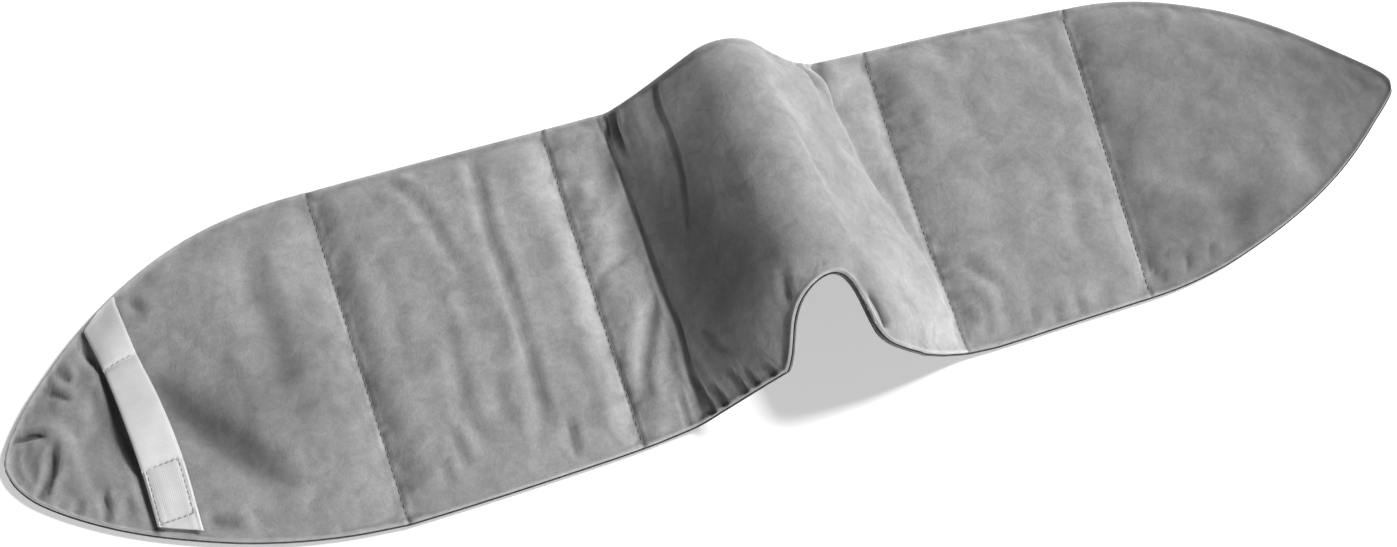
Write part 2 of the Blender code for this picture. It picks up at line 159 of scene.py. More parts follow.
# --------------------------------------------------------------------------
# outline: points are (x, y)
# --------------------------------------------------------------------------
FRONT = [
    (-154.5, -72), (-130, -71.4), (-100, -70.2), (-66, -68.3), (-52, -66.9), (-40, -65.8),
    (-13, -65.4), (3, -66.5), (18, -68.6), (27, -69.7), (37, -70.2), (48, -69.3), (61, -67.7),
    (77, -67.6), (111, -66.3), (142.2, -65.3)]
BACK = [
    (-157.7, 66), (-113, 67.2), (-64.2, 68.3), (-45, 68.6), (-30, 67.3), (0, 66.4), (12, 65.4),
    (24, 64.6), (33, 65), (44, 67.4), (55, 68.6), (71.2, 68.6), (120, 68), (159.6, 66.4)]
NOTCH_LEFT, NOTCH_RIGHT = -12.6, 37.0
NOTCH = curve([
    (NOTCH_LEFT, -65.6), (-11.9, -65.2), (-10.5, -63.2), (-8.9, -60), (-6.9, -54.9),
    (-5.2, -50.6), (-2.9, -46.7), (-0.4, -43.8), (3.1, -41.3), (7, -39.6), (10.6, -39.2),
    (13.2, -40.5), (15.1, -43.9), (16.2, -48.7), (16.65, -53.1), (16.95, -57.4), (17.4, -61.1),
    (18.9, -64.9), (22.2, -67.5), (29.4, -69.2), (NOTCH_RIGHT, -69.9)], 24)
# wing outlines, from the outer seam to the tip
RAILS = {
    ("left", "back"): curve([
        (-157.7, 66), (-172, 65.3), (-186, 63.4), (-199, 60.4), (-211, 56.2), (-222, 51),
        (-232.5, 44.9), (-243.8, 36.9), (-254.3, 28), (-263.3, 19), (-271.6, 9.9), (-278.2, 0.7),
        (-282.3, -7), (-283.6, -12.6)]),
    ("left", "front"): curve([
        (-154.5, -72), (-175, -70.1), (-195, -66.4), (-212, -61.7), (-228.5, -55.6), (-242, -49.7),
        (-255, -42.7), (-268.2, -33.8), (-276.9, -26.1), (-282, -18.4), (-283.6, -12.6)]),
    ("right", "back"): curve([
        (159.6, 66.4), (172, 65.7), (185, 63.7), (198, 60.2), (210, 55.6), (222, 50.1),
        (233, 43.9), (244, 36.2), (254, 28), (264, 18.8), (272, 11.2), (278.2, 5), (281.6, 0.4),
        (282.3, -2.9)]),
    ("right", "front"): curve([
        (142.2, -65.3), (151.4, -64.8), (160.4, -63.8), (170, -62.2), (180, -60), (190, -57.1),
        (200.8, -53.6), (211.8, -49.6), (223.4, -44.7), (233.3, -39.9), (243, -34.6),
        (251.4, -29.3), (259.3, -23.8), (267.2, -17.8), (276.2, -11), (280.9, -6.6),
        (282.3, -2.9)])}


def back_edge(x):
    return hermite(x, BACK)


def front_edge(x):
    in_notch = (x > NOTCH_LEFT) & (x < NOTCH_RIGHT)
    return np.where(in_notch, np.interp(x, NOTCH[:, 0], NOTCH[:, 1]), hermite(x, FRONT))


def wing_rail(side, edge, t):
    """Point on a wing's outline at share t from the seam to the tip."""
    p = RAILS[side, edge]
    x = lerp(p[0, 0], p[-1, 0], t)
    rising = p if p[0, 0] < p[-1, 0] else p[::-1]
    return np.array([x, np.interp(x, rising[:, 0], rising[:, 1])])


# --------------------------------------------------------------------------
# arch over the nose: height of the mid-layer over the table
# --------------------------------------------------------------------------
CREST_RADIUS = 13.0


def right_foot(w):
    """x of the right foot: it swings out to the channel seam near the front."""
    return lerp(61.0, 45.5, w) + 4.2 * np.exp(-((w - 0.22) / 0.19) ** 2)


def arch(x, y):
    w = np.clip(share(y), -0.1, 1.1)
    crest_x, left_foot, height = lerp(8.0, 5.0, w), lerp(-42.0, -37.5, w), lerp(47.5, 41.5, w)
    left = x < crest_x
    width = np.where(left, crest_x - left_foot, right_foot(w) - crest_x)
    from_foot = np.where(left, x - left_foot, right_foot(w) - x)
    centre = height - CREST_RADIUS
    slope = np.arctan2(centre, width) + np.arcsin(CREST_RADIUS / np.hypot(width, centre))
    ease = np.where(left, 4.0, 5.0)               # rounds the foot
    soft = (0.5 * (np.sqrt(from_foot * from_foot + ease * ease) - np.abs(from_foot))
            * np.tan(slope) * (1 - smooth((np.abs(from_foot) - 6) / 10)))
    flank = np.maximum(from_foot, 0) * np.tan(slope) + soft
    top = centre + np.sqrt(np.maximum(CREST_RADIUS ** 2 - (width - from_foot) ** 2, 0))
    return np.where(from_foot < width - CREST_RADIUS * np.sin(slope), flank, top)


# --------------------------------------------------------------------------
# columns of the cloth grid from left to right, each from the front edge to the back edge
# --------------------------------------------------------------------------
LEFT_WING_COLUMNS, RIGHT_WING_COLUMNS = 112, 74
LEFT_WING_LENGTH, RIGHT_WING_LENGTH = 128.0, 130.0
TIP_SHARE = 0.9996                                # the last column stops just short of the tip
# columns beside a sewn seam; a strip about this wide on each side of it is a piece of its own
AFTER_SEAM = (0.55, 1.2, 2.1, 3.4, 5.0)
BEFORE_SEAM = (-3.4, -2.1, -1.2, -0.55, 0.0)
SEAM_HALF = AFTER_SEAM[-1]
columns = []                                      # (front point, back point)
marks = {}                                        # column index of a line, or of its strip's -/+ side


def add_column(front, back, mark=None):
    if mark:
        marks[mark] = len(columns)
    columns.append((np.array(front, float), np.array(back, float)))


def add_wing_column(side, t, mark=None):
    add_column(wing_rail(side, "front", t), wing_rail(side, "back", t), mark)


def edge_points(x_front, x_back):
    """Ends of a straight column, given its x at the front and back measuring lines."""
    low, high = -74.0, -30.0
    for _ in range(44):
        y = (low + high) / 2
        if y < float(front_edge(lerp(x_front, x_back, share(y)))):
            low = y
        else:
            high = y
    front_y = (low + high) / 2
    back_y = 68.0
    for _ in range(6):
        back_y = float(back_edge(lerp(x_front, x_back, share(back_y))))
    return [(lerp(x_front, x_back, share(y)), y) for y in (front_y, back_y)]


def density(x):
    """More columns where the notch's sides run along the columns."""
    return 1 + 2.0 * np.exp(-((x + 9.0) / 5.0) ** 2) + 4.4 * np.exp(-((x - 16.8) / 2.4) ** 2)


def shifted(name, distance):
    return tuple(x + distance for x in LINES[name])


def add_beside(name, distances, mark):
    """Columns at set distances from a line; the last one gets the mark."""
    for d in distances:
        add_column(*edge_points(*shifted(name, d)), mark=mark if d == distances[-1] else None)


def add_run(start, end, spacing, mark):
    """Columns after line start up to line end, even along the arch apart from the density."""
    x, x_back = (np.linspace(start[k], end[k], 400) for k in (0, 1))
    steps, back_steps = (
        np.hypot(np.diff(line), np.diff(arch(line, np.full_like(line, y))))
        for line, y in ((x, FRONT_Y), (x_back, BACK_Y)))
    weighted = running(steps * density((x[1:] + x[:-1]) / 2))
    n = max(2, int(round(weighted[-1] / spacing)))
    front = np.interp(np.linspace(0, weighted[-1], n + 1), weighted, x)
    # the back follows the front's own spacing, measured along the arch
    plain, plain_back = running(steps), running(back_steps)
    shares = np.interp(front, x, plain / plain[-1])
    back = np.interp(shares * plain_back[-1], plain_back, x_back)
    for i in range(1, n + 1):
        add_column(*edge_points(front[i], back[i]), mark=mark if i == n else None)


for i in range(LEFT_WING_COLUMNS + 1):
    t = 1 - (i / LEFT_WING_COLUMNS) ** 1.45
    mark = {0: "left_tip", LEFT_WING_COLUMNS: "seam_left_outer-"}.get(i)
    add_wing_column("left", lerp(SEAM_HALF / LEFT_WING_LENGTH, TIP_SHARE, t), mark)
for d in BEFORE_SEAM:
    add_wing_column("left", -d / LEFT_WING_LENGTH, None if d else "seam_left_outer")
add_beside("seam_left_outer", AFTER_SEAM, "seam_left_outer+")
add_run(shifted("seam_left_outer", SEAM_HALF), shifted("seam_left_inner", -SEAM_HALF), 1.75,
        "seam_left_inner-")
add_beside("seam_left_inner", BEFORE_SEAM, "seam_left_inner")
add_beside("seam_left_inner", AFTER_SEAM, "seam_left_inner+")
# runs over the bridge: from line, distance, to line, distance, spacing, mark
for line_a, da, line_b, db, spacing, mark in (
        ("seam_left_inner", SEAM_HALF, "fold_left_foot", -7.0, 1.5, "fold_left_foot-"),
        ("fold_left_foot", -7.0, "fold_left_foot", 8.0, 1.4, "fold_left_foot+"),
        ("fold_left_foot", 8.0, "fold_crest", -9.5, 1.6, "fold_crest-"),
        ("fold_crest", -9.5, "fold_crest", 9.5, 1.4, "fold_crest+"),
        ("fold_crest", 9.5, "fold_right_foot", -8.0, 1.6, "fold_right_foot-"),
        ("fold_right_foot", -8.0, "fold_right_foot", 4.6, 1.4, "fold_right_foot+"),
        ("fold_right_foot", 4.6, "seam_right_inner", -4.4, 1.2, "seam_right_inner-")):
    add_run(shifted(line_a, da), shifted(line_b, db), spacing, mark)
add_beside("seam_right_inner", (-3.2,) + BEFORE_SEAM[1:], "seam_right_inner")
add_beside("seam_right_inner", AFTER_SEAM, "seam_right_inner+")
add_run(shifted("seam_right_inner", SEAM_HALF), shifted("seam_right_outer", -SEAM_HALF), 1.75,
        "seam_right_outer-")
add_beside("seam_right_outer", BEFORE_SEAM, "seam_right_outer")
for d in AFTER_SEAM:
    add_wing_column("right", d / RIGHT_WING_LENGTH, "seam_right_outer+" if d == SEAM_HALF else None)
for i in range(1, RIGHT_WING_COLUMNS + 1):
    t = 1 - (1 - i / RIGHT_WING_COLUMNS) ** 1.6
    mark = "right_tip" if i == RIGHT_WING_COLUMNS else None
    add_wing_column("right", lerp(SEAM_HALF / RIGHT_WING_LENGTH, TIP_SHARE, t), mark)

front_ends = np.array([c[0] for c in columns])
back_ends = np.array([c[1] for c in columns])
N_COLS = len(columns)

# rows crowd towards both edges, where the cloth rolls over
EDGE_ROWS = np.array([0, 0.10, 0.35, 0.75, 1.25, 1.9, 2.8, 4.0, 5.6, 7.6])
INNER_ROWS = 52
N_ROWS = 2 * len(EDGE_ROWS) + INNER_ROWS
rows = np.zeros((N_COLS, N_ROWS))                 # share from the front edge to the back edge
for i, length in enumerate(np.hypot(*(back_ends - front_ends).T)):
    near = EDGE_ROWS * min(1.0, length / 40.0)
    inner = np.linspace(near[-1], length - near[-1], INNER_ROWS + 2)[1:-1]
    rows[i] = np.concatenate([near, inner, length - near[::-1]]) / length
X = lerp(front_ends[:, None, 0], back_ends[:, None, 0], rows)
Y = lerp(front_ends[:, None, 1], back_ends[:, None, 1], rows)
middle = np.stack([X, Y, arch(X, Y)], -1)
PROBE = 0.4                                       # half step of the arch's slope
slope_x = (arch(X + PROBE, Y) - arch(X - PROBE, Y)) / (2 * PROBE)
slope_y = (arch(X, Y + PROBE) - arch(X, Y - PROBE)) / (2 * PROBE)
upward = np.stack([-slope_x, -slope_y, np.ones_like(X)], -1)
upward /= np.linalg.norm(upward, axis=-1, keepdims=True)


def outline_distance():
    """Distance from each grid point to the outline."""
    ring = np.concatenate([middle[:, 0], middle[-1], middle[::-1, -1], middle[0, ::-1]])
    dense = np.concatenate([ring[:-1] + (ring[1:] - ring[:-1]) * f for f in (0, 0.2, 0.4, 0.6, 0.8)])
    tree = kdtree.KDTree(len(dense))
    for i, p in enumerate(dense):
        tree.insert(p, i)
    tree.balance()
    d = np.array([tree.find(p)[2] for p in middle.reshape(-1, 3)]).reshape(N_COLS, N_ROWS)
    d[:, 0] = d[:, -1] = 0.0
    d[0, :] = d[-1, :] = 0.0
    return d


def cloth_length():
    """Length along the cloth from near the crest of the arch, for weave and seams."""
    xs, ws = np.linspace(-300.0, 300.0, 3001), np.linspace(-0.1, 1.1, 25)
    table = []
    for w in ws:
        z = arch(xs, np.full_like(xs, lerp(FRONT_Y, BACK_Y, w)))
        lengths = running(np.hypot(np.diff(xs), np.diff(z)))
        table.append(lengths - np.interp(5.5, xs, lengths))
    table = np.array(table)
    fx = np.clip((X - xs[0]) / (xs[1] - xs[0]), 0, len(xs) - 1.001)
    fw = np.clip((share(Y) - ws[0]) / (ws[1] - ws[0]), 0, len(ws) - 1.001)
    i, j = fx.astype(int), fw.astype(int)
    fx, fw = fx - i, fw - j
    return lerp(lerp(table[j, i], table[j, i + 1], fx),
                lerp(table[j + 1, i], table[j + 1, i + 1], fx), fw)


inset = outline_distance()
along = cloth_length()


# --------------------------------------------------------------------------
# thickness of the padded layers over the seam level
# --------------------------------------------------------------------------
def fall(distance, reach, power=2.2):
    """0 on a sewn line, 1 from reach onwards."""
    return 1 - (1 - np.clip(distance / reach, 0, 1)) ** power


# signed distance from each sewn seam, positive to its right
PAST = [X - lerp(*LINES[name], share(Y)) for name in SEAMS]
past_left_outer, past_left_inner, past_right_inner, past_right_outer = PAST
past_left_foot = X + 37.2
past_right_foot = X - right_foot(share(Y))
steep = 1.0 / np.maximum(upward[..., 2], 0.5)

bridge = 4.6 * fall(past_left_inner, 8, 1.8) * fall(-past_right_inner, 9, 1.3) * fall(inset, 15, 1.8)
left_dip = past_left_foot * np.where(past_left_foot > 0, steep / 6.8, 1 / 2.4)
bridge = bridge * (1 - 0.44 * np.exp(-left_dip ** 2))
right_dip = past_right_foot * np.where(past_right_foot < 0, steep, 1) / 4.8
bridge = bridge * (1 - 0.78 * np.exp(-right_dip ** 2))
near_foot = 1 - 0.40 * bell(past_right_inner, 12.0) * smooth((10.0 - Y) / 40)
# each part: its height, falling to the seams and to the outline
crown = np.select(
    [past_left_outer <= 0, past_left_inner <= 0, past_right_inner <= 0, past_right_outer <= 0],
    [4.3 * fall(-past_left_outer, 13, 1.9) * fall(inset, 22, 1.8),
     5.2 * fall(past_left_outer, 10, 1.9) * fall(-past_left_inner, 10, 1.9) * fall(inset, 17, 1.8),
     bridge,
     5.0 * fall(past_right_inner, 13, 1.5) * near_foot * fall(-past_right_outer, 8, 1.7)
     * fall(inset, 17, 1.8)],
    4.0 * fall(past_right_outer, 12, 1.9) * fall(inset, 22, 1.8))

# --------------------------------------------------------------------------
# folds and creases of the face cloth
# --------------------------------------------------------------------------
CREASE_GAIN = 1.6
fold = np.zeros_like(X)
crease_shade = np.ones_like(X)


def path_distance(points):
    """Distance to a polyline and the share along it."""
    points = np.array(points, float)
    lengths = np.hypot(*np.diff(points, axis=0).T)
    total, done = lengths.sum(), 0.0
    nearest, place = np.full(X.shape, 1e9), np.zeros(X.shape)
    for a, b, length in zip(points[:-1], points[1:], lengths):
        d = (b - a) / length
        t = np.clip((X - a[0]) * d[0] + (Y - a[1]) * d[1], 0, length)
        distance = np.hypot(X - (a[0] + d[0] * t), Y - (a[1] + d[1] * t))
        closer = distance < nearest
        nearest = np.where(closer, distance, nearest)
        place = np.where(closer, (done + t) / total, place)
        done += length
    return nearest, place


def crease(depth, width, points, ends=(0.3, 0.3), shoulder=0.35, rim=4.0, shade=0.0):
    """A groove with soft shoulders along (x, y) points; a negative depth is a ridge.

    It fades in and out over the shares of its length in ends, and over the last millimetres (rim)
    before the outline. shade is how much painted shade darkens the colour in it.
    """
    d, place = path_distance(points)
    taper = smooth(place / ends[0]) * smooth((1 - place) / ends[1])
    groove = bell(d, width) - shoulder * np.exp(-((d - 2.1 * width) / (1.2 * width)) ** 2)
    fold[:] -= depth * CREASE_GAIN * groove * taper * smooth(inset / rim)
    # painted shade along the groove
    if shade:
        crease_shade[:] *= 1 - shade * bell(d, width) * taper * smooth((inset - 0.8) / 1.5)


# left wing: crumpled tip, the broad hollow beside the band, soft waves
crease(1.3, 1.6, [(-260, 24), (-255.5, 12)], shade=0.35)
crease(1.0, 1.5, [(-266.5, 14.5), (-260, 9), (-255.5, 5)], shade=0.30)
crease(1.6, 1.25, [(-281, -2), (-274.2, -2.9), (-269.9, -3.8), (-265.5, -6.4)], ends=(0.15, 0.4),
       rim=2.5, shade=0.38)
crease(1.7, 1.6, [(-265, -7), (-266.6, -14.8), (-268.3, -18.9), (-270.9, -22.6), (-275, -28.6)],
       ends=(0.3, 0.2), rim=2.5, shade=0.38)
crease(-0.9, 2.8, [(-268.3, 5.4), (-264.1, -4.3), (-259.6, -12), (-258.9, -27)])
crease(1.2, 1.3, [(-252.5, -28.5), (-252.8, -35.5), (-253.8, -42.5)], ends=(0.35, 0.2), rim=2.5,
       shade=0.32)
crease(0.8, 1.3, [(-261, -30), (-263.5, -37)], rim=2.5, shade=0.2)
crease(0.5, 2.6, [(-249.5, 10), (-248.9, 0), (-250, -14)])
crease(0.5, 1.5, [(-245.5, -34), (-246, -42)])
crease(1.85, 5.6, [(-229.5, 10), (-219.5, -10.2), (-205.4, -29.9), (-186.5, -52)],
       ends=(0.2, 0.25), shoulder=0.5, shade=0.12)
crease(0.4, 2.6, [(-214, -14), (-203, -26), (-196, -38)])
crease(0.95, 5.6, [(-185, 58), (-182.6, 28.4), (-181.3, -0.9), (-184.1, -20)], shade=0.14)
crease(-0.4, 6.0, [(-200, 20), (-196, -6), (-186, -28)])
crease(1.0, 2.2, [(-221.5, -49.5), (-210, -56.5)], shade=0.3)
crease(0.5, 2.0, [(-206, -48), (-203, -60)])
crease(0.9, 2.0, [(-229.6, 40.7), (-225, 30)], rim=2.5, shade=0.25)
crease(0.35, 4.0, [(-167, 50), (-170, 20), (-168, -10)])
crease(1.3, 1.9, [(-250.6, 31), (-243.6, 11.7), (-240.6, -6.3), (-239.3, -24.2), (-238.6, -39.6),
                  (-237.6, -52)], ends=(0.1, 0.1), shoulder=0.25, rim=2.5)
# left pod: a long shallow groove and drifting diagonal waves
crease(0.85, 2.3, [(-94.5, 66), (-97, 27.9), (-96.1, 8), (-96.5, -22.1), (-98.1, -44.9),
                   (-103.4, -62)], ends=(0.08, 0.2), shoulder=0.6)
crease(0.75, 2.6, [(-127.6, 64), (-117.8, 45.7), (-114.7, 30.4), (-111.4, 18.7), (-107.7, 5.4)],
       ends=(0.1, 0.3), shoulder=0.5)
crease(0.6, 2.6, [(-121.4, 3.7), (-123.4, -23.8), (-125, -37.1), (-121, -58.7)])
crease(-0.5, 2.6, [(-117.2, 16.1), (-117.9, -4.3), (-112.2, -18.4)])
crease(0.45, 2.4, [(-109, -20), (-112, -40), (-107, -60)])
crease(0.9, 2.0, [(-132, -40.1), (-128.5, -61.2)], shade=0.12)
crease(0.5, 1.8, [(-138.5, -52.1), (-136.5, -66.2)])
crease(0.9, 1.5, [(-90, -49.7), (-90.3, -66.6)], rim=2.5, shade=0.2)
crease(0.4, 2.8, [(-81, -20), (-79, -45), (-83, -62)])
crease(0.4, 3.5, [(-141, 40), (-138, 10), (-142, -14)])
crease(0.3, 4.0, [(-84, 30), (-78, 12), (-80, -10)])
# left gusset and the fan of creases at the foot of the arch
crease(1.2, 2.6, [(-41.4, -8.8), (-50, -24.8), (-57, -38), (-61.3, -54.7)], ends=(0.3, 0.2),
       shoulder=0.45)
crease(0.6, 1.8, [(-65.5, -0.3), (-56.8, 3.3), (-47.8, 5.3)])
crease(-0.4, 4.0, [(-56, 50), (-54, 20), (-57, 0)])
crease(0.85, 0.95, [(-41.5, 72), (-38.9, 39.8), (-38.1, 12), (-38.2, -12.1), (-37, -29.2),
                    (-38.5, -48.1), (-39.8, -66)],
       ends=(0.02, 0.05), shoulder=0, rim=2.5, shade=0.32)
crease(1.7, 1.15, [(-34.5, 71), (-33.3, 53.2), (-32.2, 41.1)], ends=(0.02, 0.5), shoulder=0.4,
       rim=2, shade=0.42)
crease(1.2, 0.9, [(-37.6, 71), (-36.8, 60), (-36.2, 50)], ends=(0.02, 0.5), shoulder=0,
       rim=2, shade=0.35)
crease(0.9, 1.15, [(-18.4, 72), (-17.6, 45), (-18.8, 22), (-21.8, 7), (-27.5, -12)],
       ends=(0.02, 0.5), shoulder=0, rim=2, shade=0.34)
crease(-0.7, 3.0, [(-26, 70), (-25, 45), (-28, 20)], ends=(0.02, 0.4), shoulder=0)
crease(0.8, 1.2, [(-47.6, -50), (-47.2, -67)], ends=(0.5, 0.05), rim=2, shade=0.2)
for depth, width, shade, points in (
        (1.5, 1.1, 0.48, [(-38.6, -44), (-36.6, -60), (-36.2, -66)]),
        (1.4, 1.1, 0.48, [(-33.4, -52), (-32.4, -59), (-31.8, -66)]),
        (1.3, 1.05, 0.44, [(-26.8, -51), (-25.4, -58), (-24.6, -66)]),
        (1.0, 1.0, 0.36, [(-22.6, -54.5), (-21.6, -60), (-21.2, -66)]),
        (0.9, 1.0, 0.36, [(-17.4, -56.5), (-15.8, -61), (-15.4, -65.5)])):
    crease(depth, width, points, ends=(0.45, 0.05), rim=2, shade=shade)
crease(0.6, 2.4, [(-31.5, -30), (-26, -44), (-23, -52)])
# round the notch
crease(0.75, 1.2, [(-1.2, -27), (-1.9, -33.5), (-3, -38.6), (-4.2, -43)], ends=(0.8, 0.12),
       rim=2, shade=0.42)
crease(0.4, 0.9, [(0.2, -37), (0.5, -40)], ends=(0.4, 0.3), rim=1.8, shade=0.24)
crease(0.4, 0.9, [(4.8, -35.6), (6.8, -35.9)], rim=1.8, shade=0.28)
crease(0.4, 0.9, [(7.4, -33.4), (8.2, -36.4)], ends=(0.4, 0.3), rim=1.8, shade=0.28)
crease(1.0, 1.15, [(19.2, -44), (20.4, -52), (21, -57.9), (21.6, -62.8)], ends=(0.4, 0.1),
       shoulder=0.2, rim=2.4, shade=0.85)
crease(0.4, 2.0, [(22, -44), (26, -60)])
crease(0.35, 2.4, [(30, -38), (36, -58)])
# right foot of the arch
crease(1.5, 1.4, [(36, 70), (37.2, 60), (38.5, 47.8)], ends=(0.05, 0.4), shoulder=0.5, rim=2,
       shade=0.15)
crease(1.7, 1.4, [(47.8, 71), (46.2, 60.5), (45.3, 50.6), (46.5, 40)], ends=(0.03, 0.35),
       shoulder=0.6, rim=2, shade=0.25)
crease(-1.0, 2.4, [(52, 71), (50.8, 52), (52.2, 34), (54.5, 16)], ends=(0.03, 0.3), shoulder=0)
crease(0.9, 1.6, [(56, 71), (56.5, 54), (57.5, 36), (58.8, 16)], ends=(0.03, 0.4), shoulder=0.4)
# right pod and wing
crease(0.5, 1.3, [(66.6, -15), (66.9, -21.6)], ends=(0.4, 0.4), shade=0.22)
crease(0.5, 1.3, [(65.6, -28.3), (67.2, -32.4)], ends=(0.4, 0.4), shade=0.22)
crease(0.6, 1.5, [(63.6, -50.4), (68.7, -51.8), (71.6, -58.4)], shade=0.20)
crease(0.5, 1.1, [(64.6, -57.6), (65.6, -63)], ends=(0.4, 0.2), rim=2.5, shade=0.26)
crease(0.7, 2.6, [(64.8, -30.5), (76.1, -33.3), (84.4, -44.9), (83, -63.7)])
crease(0.6, 2.0, [(70, -42), (75, -52), (74, -64)])
crease(0.45, 4.0, [(131, 2), (127.5, -18), (120, -44)])
crease(0.4, 5.0, [(88, 56), (94, 34), (112, 22)])
crease(-0.3, 6.0, [(100, -5), (118, -12), (126, -30)])
crease(0.6, 1.7, [(93, -54), (94, -66)], rim=2.5, shade=0.12)
crease(0.5, 1.5, [(103, -56), (103.5, -66)], rim=2.5, shade=0.12)
crease(0.5, 1.6, [(112, -54), (113.5, -65)], rim=2.5, shade=0.12)
crease(1.0, 1.4, [(146.3, -46), (148, -54), (152.5, -61.2)], ends=(0.3, 0.2), rim=2, shade=0.30)
crease(0.6, 1.4, [(152, -52.5), (157, -50)], shade=0.2)
crease(1.1, 1.5, [(161.5, -50), (163.4, -59.6)], rim=2, shade=0.34)
crease(0.6, 1.3, [(172.5, -50), (175.5, -57.5)], rim=2, shade=0.18)
crease(0.4, 5.0, [(185, 48), (205, 40), (222, 24)])
crease(0.5, 4.0, [(238, 22), (256, 8)])
crease(0.35, 4.0, [(178, -36), (200, -40)])
crease(0.4, 3.0, [(262, 10), (270, -6)])


def pucker(d, place, reach, size, pitch, layer):
    """Small gathers that die away from a sewn line."""
    n = (0.6 * noise2(place, d * 0.15, pitch, layer)
         + 0.4 * noise2(place, d * 0.3, pitch * 0.47, layer + 3))
    n = np.where(n < 0, n * 1.35, n * 0.75)
    return size * np.exp(-np.abs(d) / reach) * n * smooth(np.abs(d) / 1.2)


def pinches(d, side, reach, pitch, layer):
    """Short pinches, from 0 to 1, on one side of a sewn line."""
    n = (0.55 * noise2(Y + 0.35 * np.abs(d), 0.0, pitch, layer)
         + 0.45 * noise2(Y, d * 0.12, pitch * 0.45, layer + 2))
    spread = np.clip(noise2(Y, 0.0, pitch * 2.3, layer + 4) + 0.4, 0, 1.4)
    far = reach * (0.55 + 0.9 * spread)
    return smooth(n / 0.45) * np.exp(-(np.abs(d) / far) ** 1.6) * (d * side > 0)


gather = np.zeros_like(X)
pinch_shade = np.ones_like(X)
# painted shade in the pinches, painted highlight where the darkening is negative; distance from a
# seam, side (1 right, -1 left), reach, pitch, noise layer, darkening, sink
for d, side, reach, pitch, layer, darken, sink in (
        (past_left_outer, 1, 3.4, 3.4, 0, 0.46, 0.40),
        (past_left_outer, -1, 1.4, 2.6, 1, -0.34, -0.14),
        (past_left_inner, 1, 3.6, 3.2, 2, 0.50, 0.35),
        (past_left_inner, -1, 2.4, 3.6, 3, 0.34, 0.25),
        (past_right_inner, 1, 4.4, 4.2, 4, 0.46, 0.20),
        (past_right_inner, -1, 1.8, 3.0, 5, 0.12, 0.10),
        (past_right_outer, 1, 3.0, 3.3, 6, 0.44, 0.35),
        (past_right_outer, -1, 1.4, 2.6, 7, -0.20, -0.10)):
    t = pinches(d, side, reach, pitch, layer)
    pinch_shade *= 1 - darken * t
    gather -= sink * t * smooth(np.abs(d) / 0.8)
for d, size, layer in zip(PAST, (1.25, 1.0, 0.5, 0.95), (1, 2, 3, 4)):
    lean = np.where(d > 0, 3.0, 0.0)
    strength = np.where(d > 0, 1.0, 0.6)
    puckers = pucker(d, Y + 0.25 * d + lean, reach=3.6, size=size, pitch=4.0, layer=layer)
    gather += np.where(np.abs(d) < 22, strength * puckers, 0)
# the two edges draw on different stretches of the noise
around = np.where(rows < 0.5, along, along + 500)
patchy = 0.55 + 0.45 * noise2(around, 0.0, 38.0, 2)
gather += (pucker(inset, around, reach=4.4, size=1.35, pitch=6.0, layer=5)
           * smooth(inset / 2.5) * patchy)

drift = (0.34 * noise2(along + 6 * noise2(along, Y, 40, 6), Y * 0.6, 17, 0)
         + 0.20 * noise2(along, Y * 0.7, 8.5, 7))
crumple = 0.0
for scale, size, layer in ((21, 0.55, 1), (12, 0.38, 4), (6.5, 0.16, 6)):
    warp = scale * 0.35 * noise2(along, Y, scale * 1.6, (layer + 2) % NOISE_LAYERS)
    ridge = 1 - np.abs(noise2(along + warp, Y * 0.62 - warp * 0.5, scale, layer))
    crumple = crumple - size * np.clip(ridge, 0, 1) ** 5
# the bridge and the right wing crumple less
quiet = (1 - 0.6 * smooth((X + 46) / 10) * (1 - smooth((X - 50) / 12))
         - 0.35 * smooth((X - 140) / 30))
drift = drift + crumple * quiet


def clear_of_seams(reach, value):
    """The value, falling to 0 at the sewn seams."""
    for d in PAST:
        value = value * fall(np.abs(d), reach)
    return value


def rolled(height, radius):
    """Height over the outline seam, rounded where the cloth rolls over its edge."""
    curl = np.sqrt(np.clip(1 - (1 - np.clip(inset / radius, 0, 1)) ** 2, 0, 1))
    return EDGE_HEIGHT + (np.maximum(height, EDGE_HEIGHT + 0.25) - EDGE_HEIGHT) * curl


FACE_ROLL, SKIN_ROLL = 1.15, 0.75
puff = crown + fold * clear_of_seams(4, 1.0) + gather + drift * clear_of_seams(9, fall(inset, 14))
seam_gap = np.minimum.reduce([np.abs(d) for d in PAST])
piping = np.where(np.abs(past_right_inner) < 6, 0.18, 0.45)
lip = (SEAM_HEIGHT + 1.9 * bell(inset, 1.7)
       + piping * np.exp(-((seam_gap - 1.3) / 0.6) ** 2) - 0.25 * bell(seam_gap, 0.45))
face_height = rolled(lip + puff, FACE_ROLL)
plain_height = rolled(lip + crown, FACE_ROLL)
skin_curl = np.sqrt(np.clip(1 - (1 - np.clip(inset / SKIN_ROLL, 0, 1)) ** 2, 0, 1))
skin_height = lerp(EDGE_HEIGHT - 0.12, 0.55 * bell(inset, 4.0), skin_curl)

# --------------------------------------------------------------------------
# cloth simulation of the face cloth: it is sewn down along the outline and the channel seams, a
# little too long for its wadding, and pushed up from inside, so it gathers by itself
# --------------------------------------------------------------------------
SIM_SCALE = 10.0                                  # the solver works best on a cloth of metre size
SIM_CLOTH = {
    "quality": 5, "mass": 0.15, "tension_stiffness": 12, "compression_stiffness": 12,
    "shear_stiffness": 4, "bending_stiffness": 0.25, "vertex_group_mass": "sewn",
    "pin_stiffness": 0.6, "shrink_min": -0.035, "use_pressure": True,
    "uniform_pressure_force": 0.22}
SIM_FRAMES, CACHE_END = 24, 26


